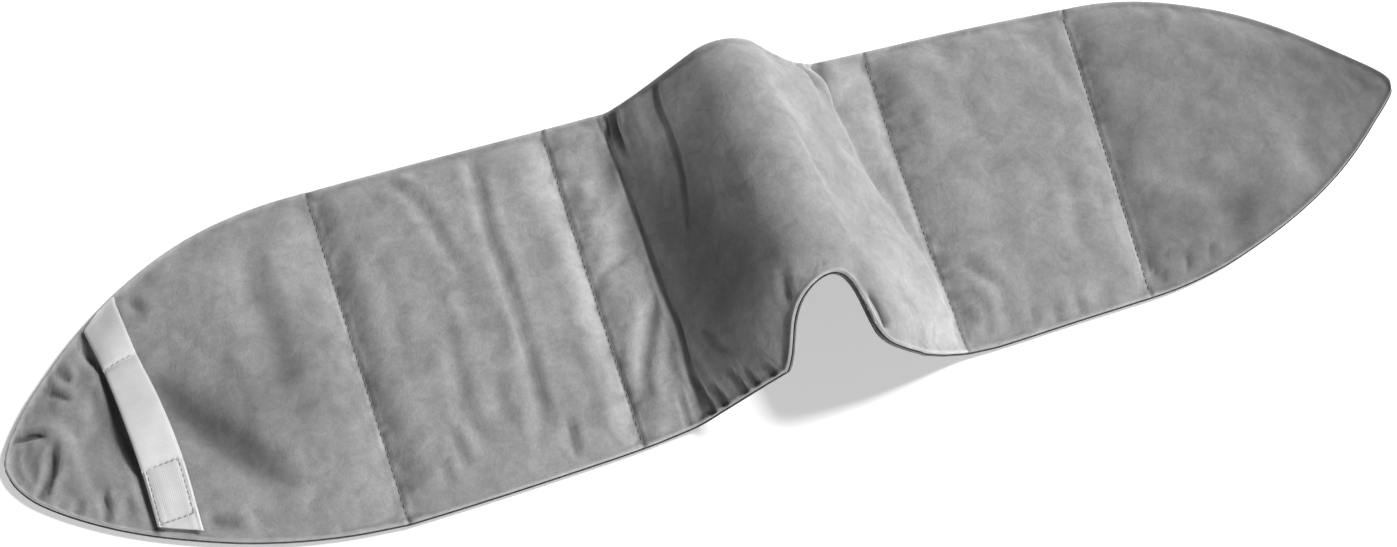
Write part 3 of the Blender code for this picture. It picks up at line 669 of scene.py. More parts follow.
def pin_weights(sel):
    """Full hold on the sewn lines, easing to a soft hold in the open cloth."""
    edge, seams = inset[sel], [np.abs(d[sel]) for d in PAST]
    sewn = edge < 1.6
    for d in seams:
        sewn |= d < 0.9
    on_bridge = (X[sel] > -48) & (X[sel] < 60)
    soft_hold = np.where(on_bridge, 0.16, 0.05)
    near_sewn = np.minimum.reduce([edge] + seams)
    return sewn, np.where(sewn, 1.0, lerp(0.6, soft_hold, smooth((near_sewn - 1.0) / 9.0)))


def simulate(height):
    """Returns the extra height over the drawn shape, on the full grid."""
    kept = SEAMS + ("fold_crest-", "fold_crest+", "fold_left_foot-", "fold_right_foot+")
    ci = sorted({*range(0, N_COLS, 2), *(marks[name] for name in kept), N_COLS - 1})
    ri = ([0, 3, 5, 7, 9] + list(range(11, N_ROWS - 11, 2))
          + [N_ROWS - 10, N_ROWS - 8, N_ROWS - 6, N_ROWS - 4, N_ROWS - 1])
    sel = np.ix_(ci, ri)
    drawn = (middle + upward * height[..., None])[sel]
    nc, nr = len(ci), len(ri)
    mesh = bpy.data.meshes.new("sim_cloth")
    faces = [(i * nr + j, (i + 1) * nr + j, (i + 1) * nr + j + 1, i * nr + j + 1)
             for i in range(nc - 1) for j in range(nr - 1)]
    mesh.from_pydata((drawn.reshape(-1, 3) * 0.001 * SIM_SCALE).tolist(), [], faces)
    mesh.update()
    ob = bpy.data.objects.new("sim_cloth", mesh)
    scene = bpy.context.scene
    scene.collection.objects.link(ob)
    group = ob.vertex_groups.new(name="sewn")
    sewn, weights = pin_weights(sel)
    for k, weight in enumerate(weights.ravel()):
        group.add([k], float(weight), "REPLACE")
    mod = ob.modifiers.new("cloth", "CLOTH")
    for key, value in SIM_CLOTH.items():
        setattr(mod.settings, key, value)
    mod.settings.effector_weights.gravity = 0.0
    mod.collision_settings.use_collision = False
    mod.collision_settings.use_self_collision = False
    mod.point_cache.frame_start, mod.point_cache.frame_end = 1, CACHE_END
    for f in range(1, SIM_FRAMES + 1):
        scene.frame_set(f)
    ev = ob.evaluated_get(bpy.context.evaluated_depsgraph_get())
    out = np.zeros(len(mesh.vertices) * 3)
    ev.data.vertices.foreach_get("co", out)
    out = out.reshape(nc, nr, 3) / SIM_SCALE * 1000
    scene.frame_set(1)
    bpy.data.objects.remove(ob, do_unlink=True)
    delta = ((out - drawn) * upward[sel]).sum(-1)
    delta[sewn] = 0.0
    # back onto the full grid, first along the rows and then along the columns
    part = np.array([np.interp(np.arange(N_COLS), ci, delta[:, j]) for j in range(nr)]).T
    full = np.array([np.interp(np.arange(N_ROWS), ri, part[i]) for i in range(N_COLS)])
    for _ in range(2):                            # the coarse grid's facets go
        full[1:-1] = (full[:-2] + 2 * full[1:-1] + full[2:]) / 4
        full[:, 1:-1] = (full[:, :-2] + 2 * full[:, 1:-1] + full[:, 2:]) / 4
    return full * smooth(inset / 3.0)


extra = simulate(plain_height)
# less of it on the bridge and towards both tips
calm = (1 - 0.55 * smooth((X + 48) / 12) * (1 - smooth((X - 52) / 12))
        - 0.95 * smooth((X - 222) / 32) - 0.3 * smooth((-235 - X) / 20))
face_height = face_height + 2.0 * np.tanh(extra / 2.0) * calm


def outward(rail):
    """Direction out of the front outline along a rail, in plan."""
    t = np.gradient(rail, axis=0)
    t /= np.maximum(np.linalg.norm(t, axis=1, keepdims=True), 1e-9)
    return np.stack([t[:, 1], -t[:, 0], np.zeros(len(t))], -1)


# the lower roll stands out past the upper one at the front, the upper one at the back
out = np.where(rows[..., None] < 0.5, outward(front_ends)[:, None], -outward(back_ends)[:, None])
front_side = smooth(0.5 - out[..., 1])
face = (middle + upward * face_height[..., None]
        - out * (lerp(0.10, 0.55, front_side) * bell(inset, 1.1))[..., None])
skin = middle + upward * skin_height[..., None]
skin -= out * (lerp(0.60, 0.10, front_side) * bell(inset, 1.0))[..., None]
skin[..., 2] = np.maximum(skin[..., 2], 0.02)


# --------------------------------------------------------------------------
# shading normals
# --------------------------------------------------------------------------
def fair(before, gap_before, after, gap_after):
    """Mean of two directions, fair to uneven spacing."""
    return (before * gap_after + after * gap_before) / (gap_before + gap_after)


def direction(step):
    gap = np.maximum(np.linalg.norm(step, axis=-1, keepdims=True), 1e-7)
    return step / gap, gap


def tangent(points):
    """Direction of travel down the first axis."""
    d, gap = direction(np.diff(points, axis=0))
    return np.concatenate([d[:1], fair(d[:-1], gap[:-1], d[1:], gap[1:]), d[-1:]])


def tangent_across(points):
    """Direction from column to column at the same y, where the grid is too skewed for its rows."""
    result = np.zeros_like(points)
    for i in range(N_COLS):
        sides = []
        for other, sign in ((i - 1, -1), (i + 1, 1)):
            if 0 <= other < N_COLS:
                q = np.stack([np.interp(Y[i], Y[other], points[other, :, k]) for k in range(3)], -1)
                sides.append(direction((q - points[i]) * sign))
        result[i] = sides[0][0] if len(sides) == 1 else fair(*sides[0], *sides[1])
    return result


def unit(n):
    return n / np.maximum(np.linalg.norm(n, axis=-1, keepdims=True), 1e-9)


def grid_normals(points):
    du, dv = tangent(points), tangent(points.transpose(1, 0, 2)).transpose(1, 0, 2)
    n = np.cross(du, dv)
    bad = np.linalg.norm(n, axis=-1) < 1e-3
    n = unit(n)
    n[bad] = upward[bad]
    inner = unit(np.cross(tangent_across(points), dv))
    return unit(lerp(n, inner, smooth((inset - 1.6) / 2.4)[..., None]))


face_normals = grid_normals(face)
# the cloth turns evenly over the crest, where the grid's columns crowd together
even = face_normals.copy()
for _ in range(14):
    even[1:-1] = (even[:-2] + 2 * even[1:-1] + even[2:]) / 4
over_crest = smooth((X - 3) / 6) * (1 - smooth((X - 30) / 8)) * smooth((inset - 3) / 4)
face_normals = unit(lerp(face_normals, unit(even), over_crest[..., None]))
skin_normals = -grid_normals(skin)

# --------------------------------------------------------------------------
# painted light and shade in the face cloth's colour: painted shade along the creases, painted
# highlight on the rim
# --------------------------------------------------------------------------
# elastic band across the left wing
BAND_PATH = [(-53.5, -230.3), (-27, -231.2), (-5, -233.8), (16.5, -237.5), (38, -241.3)]  # y, x
BAND_WIDTHS = [(-53.5, 14.6), (-27, 14.7), (-5, 14), (14, 12.9), (30, 13.8), (38, 14.4)]  # y, width


def band_x(y):
    return hermite(y, BAND_PATH)


def band_width(y):
    return hermite(y, BAND_WIDTHS)


# painted shade in the hollows of the folds, painted light on their ridges
tone_and_painted_light = 1.0 + 0.13 * np.clip(fold + gather, -2.6, 1.4)
# painted highlight along the rim, more of it on the back edge
tone_and_painted_light *= 1 + 0.32 * np.exp(-((inset - 0.6) / 0.8) ** 2)
tone_and_painted_light *= 1 + 0.30 * bell(inset, 0.55) * (rows > 0.5)
# darker towards the right wing and its tip
tone_and_painted_light *= 1 - 0.27 * smooth((X - 141) / 10) - 0.22 * smooth((X - 205) / 70)
# painted shade along the seams, painted highlight where the darkening is negative: distance from a
# seam, middle, width, darkening
for d, centre, width, darken in (
        (past_left_outer, 0.25, 0.75, 0.40), (past_left_inner, 0.45, 1.15, 0.50),
        (past_right_inner, 0.7, 1.1, 0.42), (past_right_outer, 0.7, 0.7, 0.34),
        (past_right_outer, -1.0, 1.0, -0.10), (past_right_outer, -5.0, 4.0, 0.15),
        (past_left_inner, -1.6, 0.9, -0.08), (past_left_outer, -1.0, 0.7, -0.08)):
    tone_and_painted_light *= 1 - darken * bell(d - centre, width)
# painted shade in a band right of the right inner seam, painted highlight just left of it
tone_and_painted_light *= (1 - 0.26 * bell(past_right_inner - 3.6, 3.4) * (0.3 + 0.7 * smooth((14 - Y) / 40))
        * (past_right_inner > 0))
tone_and_painted_light *= 1 + 0.14 * bell(past_right_inner + 1.7, 1.0) * smooth((4 - Y) / 24)
tone_and_painted_light *= crease_shade * pinch_shade
# broad patches of painted light and shade, partly tone: centre x, y, radius in x, y, brightening
for cx, cy, rx, ry, brighten in (
        (-22, -8, 17, 62, -0.48), (-33, 30, 9, 34, -0.12), (45, -50, 16, 26, 0.16),
        (30, 10, 18, 60, -0.16), (54, 48, 6, 26, 0.35), (-142, 10, 14, 60, 0.12),
        (-232, -5, 30, 30, -0.10), (-56, -10, 12, 60, 0.16), (238, 14, 30, 22, -0.20),
        (-198, -14, 30, 26, -0.34), (-60, 48, 12, 14, 0.12), (200, -44, 46, 14, -0.30),
        (276, 2, 18, 18, -0.28), (-262, -12, 16, 22, -0.06), (52, -4, 5, 30, -0.12),
        (-15, -12, 11, 24, -0.26), (-68, 10, 8, 60, 0.12), (100, 0, 22, 30, -0.08),
        (128, -10, 9, 60, -0.06), (-20, 46, 14, 18, 0.22), (0, 0, 9, 24, 0.08),
        (-205, 45, 30, 18, 0.08), (-170, -50, 22, 14, 0.08), (-56, -40, 8, 18, 0.10),
        (60, 40, 6, 26, 0.08)):
    tone_and_painted_light *= 1 + brighten * np.exp(-(((X - cx) / rx) ** 2 + ((Y - cy) / ry) ** 2))
# painted shadow of the band in the slot along its left edge
band_shadow_x = X - band_x(Y) + 0.5 * band_width(Y)
band_shadow_width = 1.15 + 1.9 * np.exp(-((Y + 10.0) / 15.0) ** 2)
tone_and_painted_light *= (1 - 0.86 * np.exp(-np.abs((band_shadow_x + 0.75 * band_shadow_width) / band_shadow_width) ** 2.4)
        * smooth((34 - Y) / 4) * smooth((Y + 54) / 6) * (X < -225))


# --------------------------------------------------------------------------
# meshes
# --------------------------------------------------------------------------
def to_frame(points):
    return (points + SHIFT) * 0.001


def make_object(name, verts, faces, normals=None, attrs=None, uv=None):
    """A mesh object in frame coordinates, with its own shading normals and rest attributes."""
    mesh = bpy.data.meshes.new(name)
    mesh.from_pydata(to_frame(verts).tolist(), [], faces)
    mesh.update()
    rest = mesh.attributes.new("rest", "FLOAT_VECTOR", "POINT")
    rest.data.foreach_set("vector", to_frame(verts).astype(np.float32).ravel())
    for key, values in (attrs or {}).items():
        attr = mesh.attributes.new(key, "FLOAT", "POINT")
        attr.data.foreach_set("value", np.asarray(values, np.float32).ravel())
    loops = np.zeros(len(mesh.loops), int)
    mesh.loops.foreach_get("vertex_index", loops)
    if uv is not None:
        layer = mesh.uv_layers.new(name="cloth")
        layer.data.foreach_set("uv", (uv[loops] * 0.001).astype(np.float32).ravel())
    mesh.shade_smooth()
    if normals is not None:
        mesh.normals_split_custom_set(normals[loops].tolist())
    ob = bpy.data.objects.new(name, mesh)
    bpy.context.scene.collection.objects.link(ob)
    return ob


def slab_faces(n, r):
    """Faces of a closed slab: an n by r grid of points, the same grid again under it, and a rim."""
    def idx(i, j, k=0):
        return k * n * r + i * r + j

    faces = []
    for i in range(n - 1):
        for j in range(r - 1):
            faces.append((idx(i, j), idx(i + 1, j), idx(i + 1, j + 1), idx(i, j + 1)))
            faces.append((idx(i, j, 1), idx(i, j + 1, 1), idx(i + 1, j + 1, 1), idx(i + 1, j, 1)))
    rim = ([(i, 0) for i in range(n)] + [(n - 1, j) for j in range(1, r)]
           + [(i, r - 1) for i in range(n - 2, -1, -1)] + [(0, j) for j in range(r - 2, -1, -1)])
    for a, b in zip(rim[:-1], rim[1:]):
        faces.append((idx(*a), idx(*a, 1), idx(*b, 1), idx(*b)))
    return faces


def shell(name, points, normals, span, thickness, steps=(1, 1), flip=False):
    """A closed piece of cloth cut from a surface grid between two marks, with its back inside."""
    first, last = (marks[m] for m in span)
    ii = sorted({*range(first, last + 1, steps[0]), last})
    jj = sorted({*range(0, N_ROWS, steps[1]), *range(5), *range(N_ROWS - 5, N_ROWS)})
    sel = np.ix_(ii, jj)
    outer, nrm = points[sel], normals[sel]
    depth = thickness * lerp(0.5, 1.0, smooth((inset[sel] - 0.8) / 3.0))
    verts = np.concatenate([outer.reshape(-1, 3), (outer - nrm * depth[..., None]).reshape(-1, 3)])
    norms = np.concatenate([nrm.reshape(-1, 3), -nrm.reshape(-1, 3)])
    faces = slab_faces(len(ii), len(jj))
    if flip:
        faces = [f[::-1] for f in faces]
    uv = np.stack([along[sel], Y[sel]], -1).reshape(-1, 2)
    attrs = {key: np.concatenate([values[sel].ravel()] * 2)
             for key, values in (("edge", inset), ("tone_and_painted_light", tone_and_painted_light))}
    return make_object(name, verts, faces, norms, attrs, np.concatenate([uv, uv]))


def face_piece(name, span):
    return shell("face_" + name, face, face_normals, span, COVER_THICK)


def skin_piece(name, span, steps):
    return shell("skin_" + name, skin, skin_normals, span, SKIN_THICK, steps, flip=True)


finishes = []                                     # (object, key of its material)


def finish(ob, slot, material=None):
    finishes.append((ob, material or slot))


def bend(ob):
    """Bakes the piece's placement into its mesh."""
    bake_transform(ob)


starts = ["left_tip"] + [b[0] + "+" for b in BENDS]
stops = [b[0] + "-" for b in BENDS] + ["right_tip"]
PANELS = list(zip(BODIES, zip(starts, stops)))

for body, span in PANELS:
    ob = face_piece(body, span)
    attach(ob, body)
    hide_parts("face_cover_" + body)
    finish(ob, "face_cloth")
    ob = skin_piece(body, span, (2, 2))
    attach(ob, body)
    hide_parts("skin_cover_" + body)
    finish(ob, "skin_cloth")
for k, (name, *_) in enumerate(BENDS):
    span = (name + "-", name + "+")
    ob = face_piece(name, span)
    bend(ob)
    finish(ob, "face_cloth")
    ob = skin_piece(name, span, (1, 2))
    bend(ob)
    finish(ob, "skin_cloth")

# --------------------------------------------------------------------------
# wadding: one pad per panel between the two cloths
# --------------------------------------------------------------------------
PAD_SKIPS = {"left_tip": 22, "right_tip": 14}     # columns left out at the tips
lowest = face_height.copy()
for di in range(-2, 3):
    for dj in range(-2, 3):
        lowest = np.minimum(lowest, np.roll(np.roll(face_height, di, 0), dj, 1))


def pad(name, span):
    first = marks[span[0]] + PAD_SKIPS.get(span[0], 0)
    last = marks[span[1]] - PAD_SKIPS.get(span[1], 0)
    ii = range(first + 1, last, 2 if last - first > 30 else 1)
    jj = range(9, N_ROWS - 9, 2)
    sel = np.ix_(ii, jj)
    roof = lowest[sel] - COVER_THICK - 0.3
    floor = np.minimum(skin_height[sel] + 0.55, roof - 0.05)
    layers = [(middle[sel] + upward[sel] * h[..., None]).reshape(-1, 3) for h in (roof, floor)]
    return make_object(name, np.concatenate(layers), slab_faces(len(ii), len(jj)))


for body, span in PANELS:
    ob = pad("pad_" + body, span)
    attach(ob, body)
    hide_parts("wadding_" + body)
    finish(ob, "wadding")


# --------------------------------------------------------------------------
# stitches
# --------------------------------------------------------------------------
def stitch_run(name, points, radius=0.24, length=2.3, gap=0.55, dip=0.28, sides=7, rings=6):
    """Separate lock stitches along a path: short threads that dive into the cloth at both ends."""
    points = np.array(points, float)
    total = running(np.linalg.norm(np.diff(points, axis=0), axis=1))

    def at(s):
        return np.array([np.interp(s, total, points[:, k]) for k in range(3)])

    verts, faces = [], []
    s = gap
    while s + length < total[-1]:
        base = len(verts)
        for k in range(rings):
            t = k / (rings - 1)
            centre = at(s + t * length)
            centre[2] += dip * (math.sin(math.pi * t) * 1.3 - 1.0)
            ahead = at(min(s + t * length + 0.2, total[-1])) - at(s + t * length - 0.2)
            ahead /= np.linalg.norm(ahead)
            side = np.cross(ahead, (0, 0, 1))
            side /= np.linalg.norm(side)
            over = np.cross(side, ahead)
            ring_radius = radius * (0.55 + 0.45 * math.sin(math.pi * (0.12 + 0.76 * t)))
            for q in range(sides):
                a = 2 * math.pi * q / sides
                verts.append(centre + ring_radius * (math.cos(a) * side + math.sin(a) * over))
        for k in range(rings - 1):
            for q in range(sides):
                a, b = base + k * sides + q, base + k * sides + (q + 1) % sides
                faces.append((a, a + sides, b + sides, b))
        faces.append(tuple(base + q for q in range(sides)))
        faces.append(tuple(base + (rings - 1) * sides + q for q in reversed(range(sides))))
        s += length + gap
    return make_object(name, np.array(verts), faces)


for k, (name, *_) in enumerate(BENDS):
    if name in SEAMS:
        path = face[marks[name], 6:-6].copy()
        path[:, 2] += 0.12
        ob = stitch_run(name.replace("seam", "stitch"), path)
        bend(ob)
        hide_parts(name.replace("seam", "seam_thread"))
        finish(ob, "thread")

# --------------------------------------------------------------------------
# elastic band
# --------------------------------------------------------------------------
BAND_THICK = 1.05
BAND_UV_WIDTH = 13.6
BAND_ACROSS = 21                                  # points across the band
# y where the free span starts and ends, where the two halves meet, where the box stitch ends
SPAN_BACK, SPAN_FRONT, BAND_MID, BOX_END = 13.1, -27.0, -5.0, -47.8
LINE_STITCH_Y, BOX_START = SPAN_BACK + 1.2, SPAN_FRONT - 1.2
BOX_SIDE = 0.39                                   # share of the width
SLANT = 1.6                                       # the line stitch runs a little askew
wing = np.arange(0, marks["seam_left_outer"])


def surface_at(x, y):
    """Height of the face at a point of the left wing."""
    low, high = front_ends[wing], back_ends[wing]
    t = np.clip((y - low[:, 1]) / np.maximum(high[:, 1] - low[:, 1], 1e-6), 0, 1)
    xs = lerp(low[:, 0], high[:, 0], t)
    k = int(np.clip(np.searchsorted(xs, x) - 1, 0, len(xs) - 2))
    f = np.clip((x - xs[k]) / (xs[k + 1] - xs[k]), 0, 1)
    a, b = (float(np.interp(y, Y[m], face[m, :, 2])) for m in (k, k + 1))
    return a + (b - a) * f


def wing_height(x, y):
    """Height at which the band rests: between the mean and the highest points round it."""
    peak = max(surface_at(x + dx, y + dy) for dx in (-1.5, 1.5) for dy in (-1.5, 1.5))
    mean = np.mean([surface_at(x + dx, y + dy) for dx in (-3, 0, 3) for dy in (-3, 0, 3)])
    return 0.35 * peak + 0.65 * float(mean) + 0.1


def band_lift(y):
    """How far the free span stands off the wing."""
    t = (y - SPAN_FRONT) / (SPAN_BACK - SPAN_FRONT)
    return 3.2 * math.sin(math.pi * t ** 0.7) ** 0.7 if 0 < t < 1 else 0.0


def band_point(y, u):
    """Plan point at share u (-0.5 to 0.5) across the band."""
    slope = float(band_x(y + 0.5)) - float(band_x(y - 0.5))
    side, width = np.array([1.0, -slope]) / math.hypot(1, slope), float(band_width(y))
    return float(band_x(y)) + side[0] * u * width, y + side[1] * u * width


def band_limit(u, edge, y, margin):
    """y where the band stops at share u of its width: a margin from the outline, from a guess y."""
    rail = RAILS["left", edge][::-1]
    for _ in range(12):
        x = float(band_x(y)) + u * float(band_width(y))
        y = lerp(y, np.interp(x, rail[:, 0], rail[:, 1]) + margin, 0.7)
    return y


def sewing_dents(u, y):
    """How far the stitches pull the band down."""
    dent = -0.42 * math.exp(-((y - LINE_STITCH_Y - SLANT * u) / 0.8) ** 2)
    dent -= 0.42 * math.exp(-((y - BOX_START) / 0.8) ** 2)
    if y < SPAN_FRONT + 0.5:
        side = math.exp(-((abs(u) - BOX_SIDE) / 0.035) ** 2)
        dent -= 0.36 * side * smooth((SPAN_FRONT - y) / 1.5)
        dent -= 0.36 * math.exp(-((y - BOX_END) / 0.8) ** 2) * (abs(u) < 0.41)
    return dent


def band_piece(name, n, edge, guess, margin):
    """Half of the band, from its middle to the outline, with its points in order of rising y."""
    tops, bottoms, uvs = [], [], []
    us = np.linspace(-0.5, 0.5, BAND_ACROSS)
    limits = [band_limit(u, edge, guess, margin) for u in us]
    for k in range(n + 1):
        t = k / n if edge == "back" else 1 - k / n
        row = [lerp(BAND_MID, limit, t) for limit in limits]
        yc = row[BAND_ACROSS // 2]
        # the free span is straight across, the sewn ends follow the pad
        from_span_end = min(1.0, min(abs(yc - SPAN_BACK), abs(yc - SPAN_FRONT)) / 6.0)
        sewn = yc > SPAN_BACK or yc < SPAN_FRONT
        mix = 0.4 + 0.6 * from_span_end if sewn else 0.4 * (1 - from_span_end)
        points = [band_point(y, u) for u, y in zip(us, row)]
        heights = np.array([wing_height(*p) for p in points])
        level = heights.mean() + 0.2
        for u, y, (px, py), height in zip(us, row, points, heights):
            z = lerp(level, height, mix) + 0.18 + band_lift(y) * (1 - 0.10 * (2 * u) ** 2)
            z += 0.10 * float(noise2(px * 1.7, py, 9.0, 2))
            rim = 1 - (abs(u) * 2) ** 12
            selvage = (0.12 * math.exp(-((abs(u) - 0.46) / 0.02) ** 2)
                       - 0.10 * math.exp(-((abs(u) - 0.415) / 0.012) ** 2))
            thick = BAND_THICK * (0.45 + 0.55 * rim)
            tops.append((px, py, z + (thick + selvage + sewing_dents(u, y))))
            bottoms.append((px, py, z + BAND_THICK * 0.35 * (1 - rim)))
            uvs.append((u * BAND_UV_WIDTH, y))
    # turned over, each from the same first corner
    faces = [(f[0], *f[:0:-1]) for f in slab_faces(n + 1, BAND_ACROSS)]
    ob = make_object(name, np.array(tops + bottoms), faces, uv=np.array(uvs + uvs))
    ob.data.set_sharp_from_angle(angle=math.radians(55))
    return ob


def on_band(y, u):
    x, y = band_point(y, u)
    return np.array([x, y, wing_height(x, y) + BAND_THICK])


# name, rows, outline edge, first guess of its y, margin, y of the blend's start, replaced nodes
for name, n, edge, guess, margin, start, nodes in (
        ("band_upper", 50, "back", 38.0, -1.5, SPAN_BACK, ("band_end_upper", "band_span")),
        ("band_lower", 60, "front", -52.0, 3.8, SPAN_FRONT, ("band_end_lower",))):
    ob = band_piece(name, n, edge, guess, margin)
    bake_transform(ob)
    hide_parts(*nodes)
    finish(ob, "elastic")

line = [on_band(LINE_STITCH_Y + SLANT * u, u) for u in np.linspace(-0.46, 0.46, 13)]
box = ([on_band(BOX_START, u) for u in np.linspace(-BOX_SIDE, BOX_SIDE, 11)]
       + [on_band(y, BOX_SIDE) for y in np.linspace(SPAN_FRONT - 2.0, BOX_END, 16)]
       + [on_band(BOX_END, u) for u in np.linspace(0.33, -BOX_SIDE, 10)]
       + [on_band(y, -BOX_SIDE) for y in np.linspace(BOX_END + 1.0, BOX_START, 16)])
for kind, path in (("line", line), ("box", box)):
    ob = stitch_run("stitch_band_" + kind, path, radius=0.2, length=1.7, gap=0.4, dip=0.2)
    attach(ob, "left_wing")
    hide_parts(f"band_{kind}_stitch")
    finish(ob, "thread", "band_thread")


# --------------------------------------------------------------------------
# materials
# --------------------------------------------------------------------------
class Nodes:
    """A material's node tree; values may be numbers or sockets of other nodes."""

    def __init__(self, name):
        self.material = bpy.data.materials.new(name)
        self.material.use_nodes = True
        self.tree = self.material.node_tree

    def feed(self, socket, value):
        if isinstance(value, bpy.types.NodeSocket):
            self.tree.links.new(value, socket)
        else:
            socket.default_value = value

    def node(self, kind, **values):
        n = self.tree.nodes.new(kind)
        for key, value in values.items():
            if key in n.inputs:
                self.feed(n.inputs[key], value)
            else:
                setattr(n, key, value)
        return n

    def surface(self, values):
        inputs = self.tree.nodes["Principled BSDF"].inputs
        for key, value in values.items():
            self.feed(inputs[key], value)
        return self.material

    def rest(self, scale=(1, 1, 1)):
        a = self.node("ShaderNodeAttribute", attribute_name="rest")
        return self.node("ShaderNodeMapping", Scale=scale, Vector=a.outputs["Vector"]).outputs[0]

    def noise(self, vec, scale, detail=4.0, rough=0.55, distortion=0.0):
        return self.node("ShaderNodeTexNoise", Scale=scale, Detail=detail, Roughness=rough,
                         Distortion=distortion, Vector=vec).outputs["Fac"]

    def ramp(self, fac, *stops):
        """Grey ramp through (position, value) stops."""
        r = self.node("ShaderNodeValToRGB", Fac=fac)
        elements = r.color_ramp.elements
        while len(elements) < len(stops):
            elements.new(0.5)
        for element, (position, grey) in zip(elements, stops):
            element.position = position
            element.color = (grey, grey, grey, 1)
        return r.outputs["Color"]

    def math(self, operation, *values):
        n = self.node("ShaderNodeMath", operation=operation)
        for socket, value in zip(n.inputs, values):
            self.feed(socket, value)
        return n.outputs[0]

    def multiply(self, a, b):
        """Product of a colour and another colour or a grey number."""
        n = self.node("ShaderNodeMix", data_type="RGBA", blend_type="MULTIPLY")
        n.inputs[0].default_value = 1.0
        self.feed(n.inputs[6], a)
        self.feed(n.inputs[7], (b, b, b, 1) if isinstance(b, float) else b)
        return n.outputs[2]

    def bump(self, height, strength, distance, normal=None):
        n = self.node("ShaderNodeBump", Strength=strength, Distance=distance, Height=height)
        if normal is not None:
            self.feed(n.inputs["Normal"], normal)
        return n.outputs["Normal"]

    def thread_waves(self, u_pitch, v_pitch):
        """Two crossed sine waves on the cloth's own coordinates, pitches in metres."""
        uv = self.node("ShaderNodeUVMap", uv_map="cloth")
        sep = self.node("ShaderNodeSeparateXYZ")
        self.feed(sep.inputs[0], uv.outputs["UV"])
        return [self.math("SINE", self.math("MULTIPLY", sep.outputs[k], 2 * math.pi / pitch))
                for k, pitch in enumerate((u_pitch, v_pitch))]


def face_cloth(name, tone):
    """Short brushed pile, mottled at random, with fibres and a soft sheen; painted light and shade
    from the mesh and a painted sheen at glancing angles change its colour.
    """
    g = Nodes(name)
    v = g.rest()
    big = g.noise(v, scale=38, detail=3, rough=0.5, distortion=0.6)
    medium = g.noise(v, scale=120, detail=4, rough=0.6, distortion=0.8)
    small = g.noise(v, scale=420, detail=3, rough=0.6)
    fibre = g.noise(g.rest((1, 0.35, 1)), scale=2600, detail=2, rough=0.6)
    base = g.multiply(g.ramp(big, (0.30, 0.88), (0.70, 1.10)),
                      g.ramp(medium, (0.30, 0.86), (0.70, 1.12)))
    base = g.multiply(base, g.ramp(small, (0.28, 0.92), (0.72, 1.07)))
    base = g.multiply(base, g.ramp(fibre, (0.25, 0.88), (0.75, 1.10)))
    base = g.multiply(base, tone)
    # painted light and shade carried on the mesh
    base = g.multiply(base, g.node("ShaderNodeAttribute", attribute_name="tone_and_painted_light").outputs["Fac"])
    # painted sheen: the colour is darker straight on and brighter at a glancing angle
    facing = g.node("ShaderNodeLayerWeight", Blend=0.5).outputs["Facing"]
    base = g.multiply(base, g.ramp(facing, (0.0, 0.94), (0.15, 1.0), (0.5, 1.32), (0.8, 1.65),
                                   (1.0, 1.9)))
    height = g.math("ADD", g.math("MULTIPLY", small, 0.5), g.math("MULTIPLY", fibre, 0.5))
    mottle = g.bump(medium, strength=0.35, distance=0.0012)
    return g.surface({
        "Base Color": base,
        "Roughness": g.ramp(small, (0.2, 0.82), (0.8, 0.95)),
        "Sheen Weight": 0.35,
        "Sheen Roughness": 0.45,
        "Sheen Tint": (0.9, 0.9, 0.9, 1),
        "Specular IOR Level": 0.2,
        "Normal": g.bump(height, strength=0.45, distance=0.00045, normal=mottle)})


def skin_cloth():
    """Plain weave, over-and-under threads."""
    g = Nodes("skin_cloth")
    v = g.rest()
    weave = g.math("MULTIPLY", *g.thread_waves(0.0007, 0.0007))
    tint = g.ramp(g.noise(v, scale=60, rough=0.6, distortion=0.5), (0.3, 0.90), (0.7, 1.08))
    threads = g.ramp(g.math("ADD", g.math("MULTIPLY", weave, 0.5), 0.5), (0.0, 0.82), (1.0, 1.1))
    ripple = g.bump(g.noise(v, scale=180, detail=3), strength=0.3, distance=0.0006)
    return g.surface({
        "Base Color": g.multiply(g.multiply(tint, threads), 0.088),
        "Roughness": g.ramp(g.noise(v, scale=300, detail=2), (0.2, 0.5), (0.8, 0.68)),
        "Sheen Weight": 0.25,
        "Normal": g.bump(weave, strength=0.5, distance=0.0001, normal=ripple)})


def elastic():
    """Pale ribbed elastic."""
    g = Nodes("elastic_band")
    v = g.rest()
    ribs, picks = g.thread_waves(0.00062, 0.0006)
    height = g.math("ADD", g.math("MULTIPLY", ribs, 0.6), g.math("MULTIPLY", picks, 0.4))
    tint = g.ramp(g.noise(v, scale=140, rough=0.6), (0.3, 0.93), (0.7, 1.04))
    lines = g.ramp(g.math("ADD", g.math("MULTIPLY", height, 0.5), 0.5), (0.0, 0.97), (1.0, 1.02))
    return g.surface({
        "Base Color": g.multiply(g.multiply(tint, lines), 0.70),
        "Roughness": g.ramp(g.noise(v, scale=500, detail=2), (0.2, 0.6), (0.8, 0.75)),
        "Sheen Weight": 0.2,
        "Normal": g.bump(height, strength=0.3, distance=0.00008)})


def thread(name, tone):
    g = Nodes(name)
    twist = g.node("ShaderNodeTexWave", Scale=900, Distortion=1.5, Detail=1.0, Vector=g.rest(),
                   bands_direction="DIAGONAL").outputs["Fac"]
    return g.surface({
        "Base Color": g.multiply(g.ramp(twist, (0.0, 0.75), (1.0, 1.15)), tone),
        "Roughness": 0.6,
        "Normal": g.bump(twist, strength=0.4, distance=0.0001)})


def wadding():
    g = Nodes("wadding")
    fluff = g.noise(g.rest(), scale=240, detail=6, rough=0.7, distortion=1.5)
    return g.surface({
        "Base Color": g.multiply(g.ramp(fluff, (0.3, 0.8), (0.7, 1.0)), 0.82),
        "Roughness": 1.0,
        "Normal": g.bump(fluff, strength=0.6, distance=0.001)})


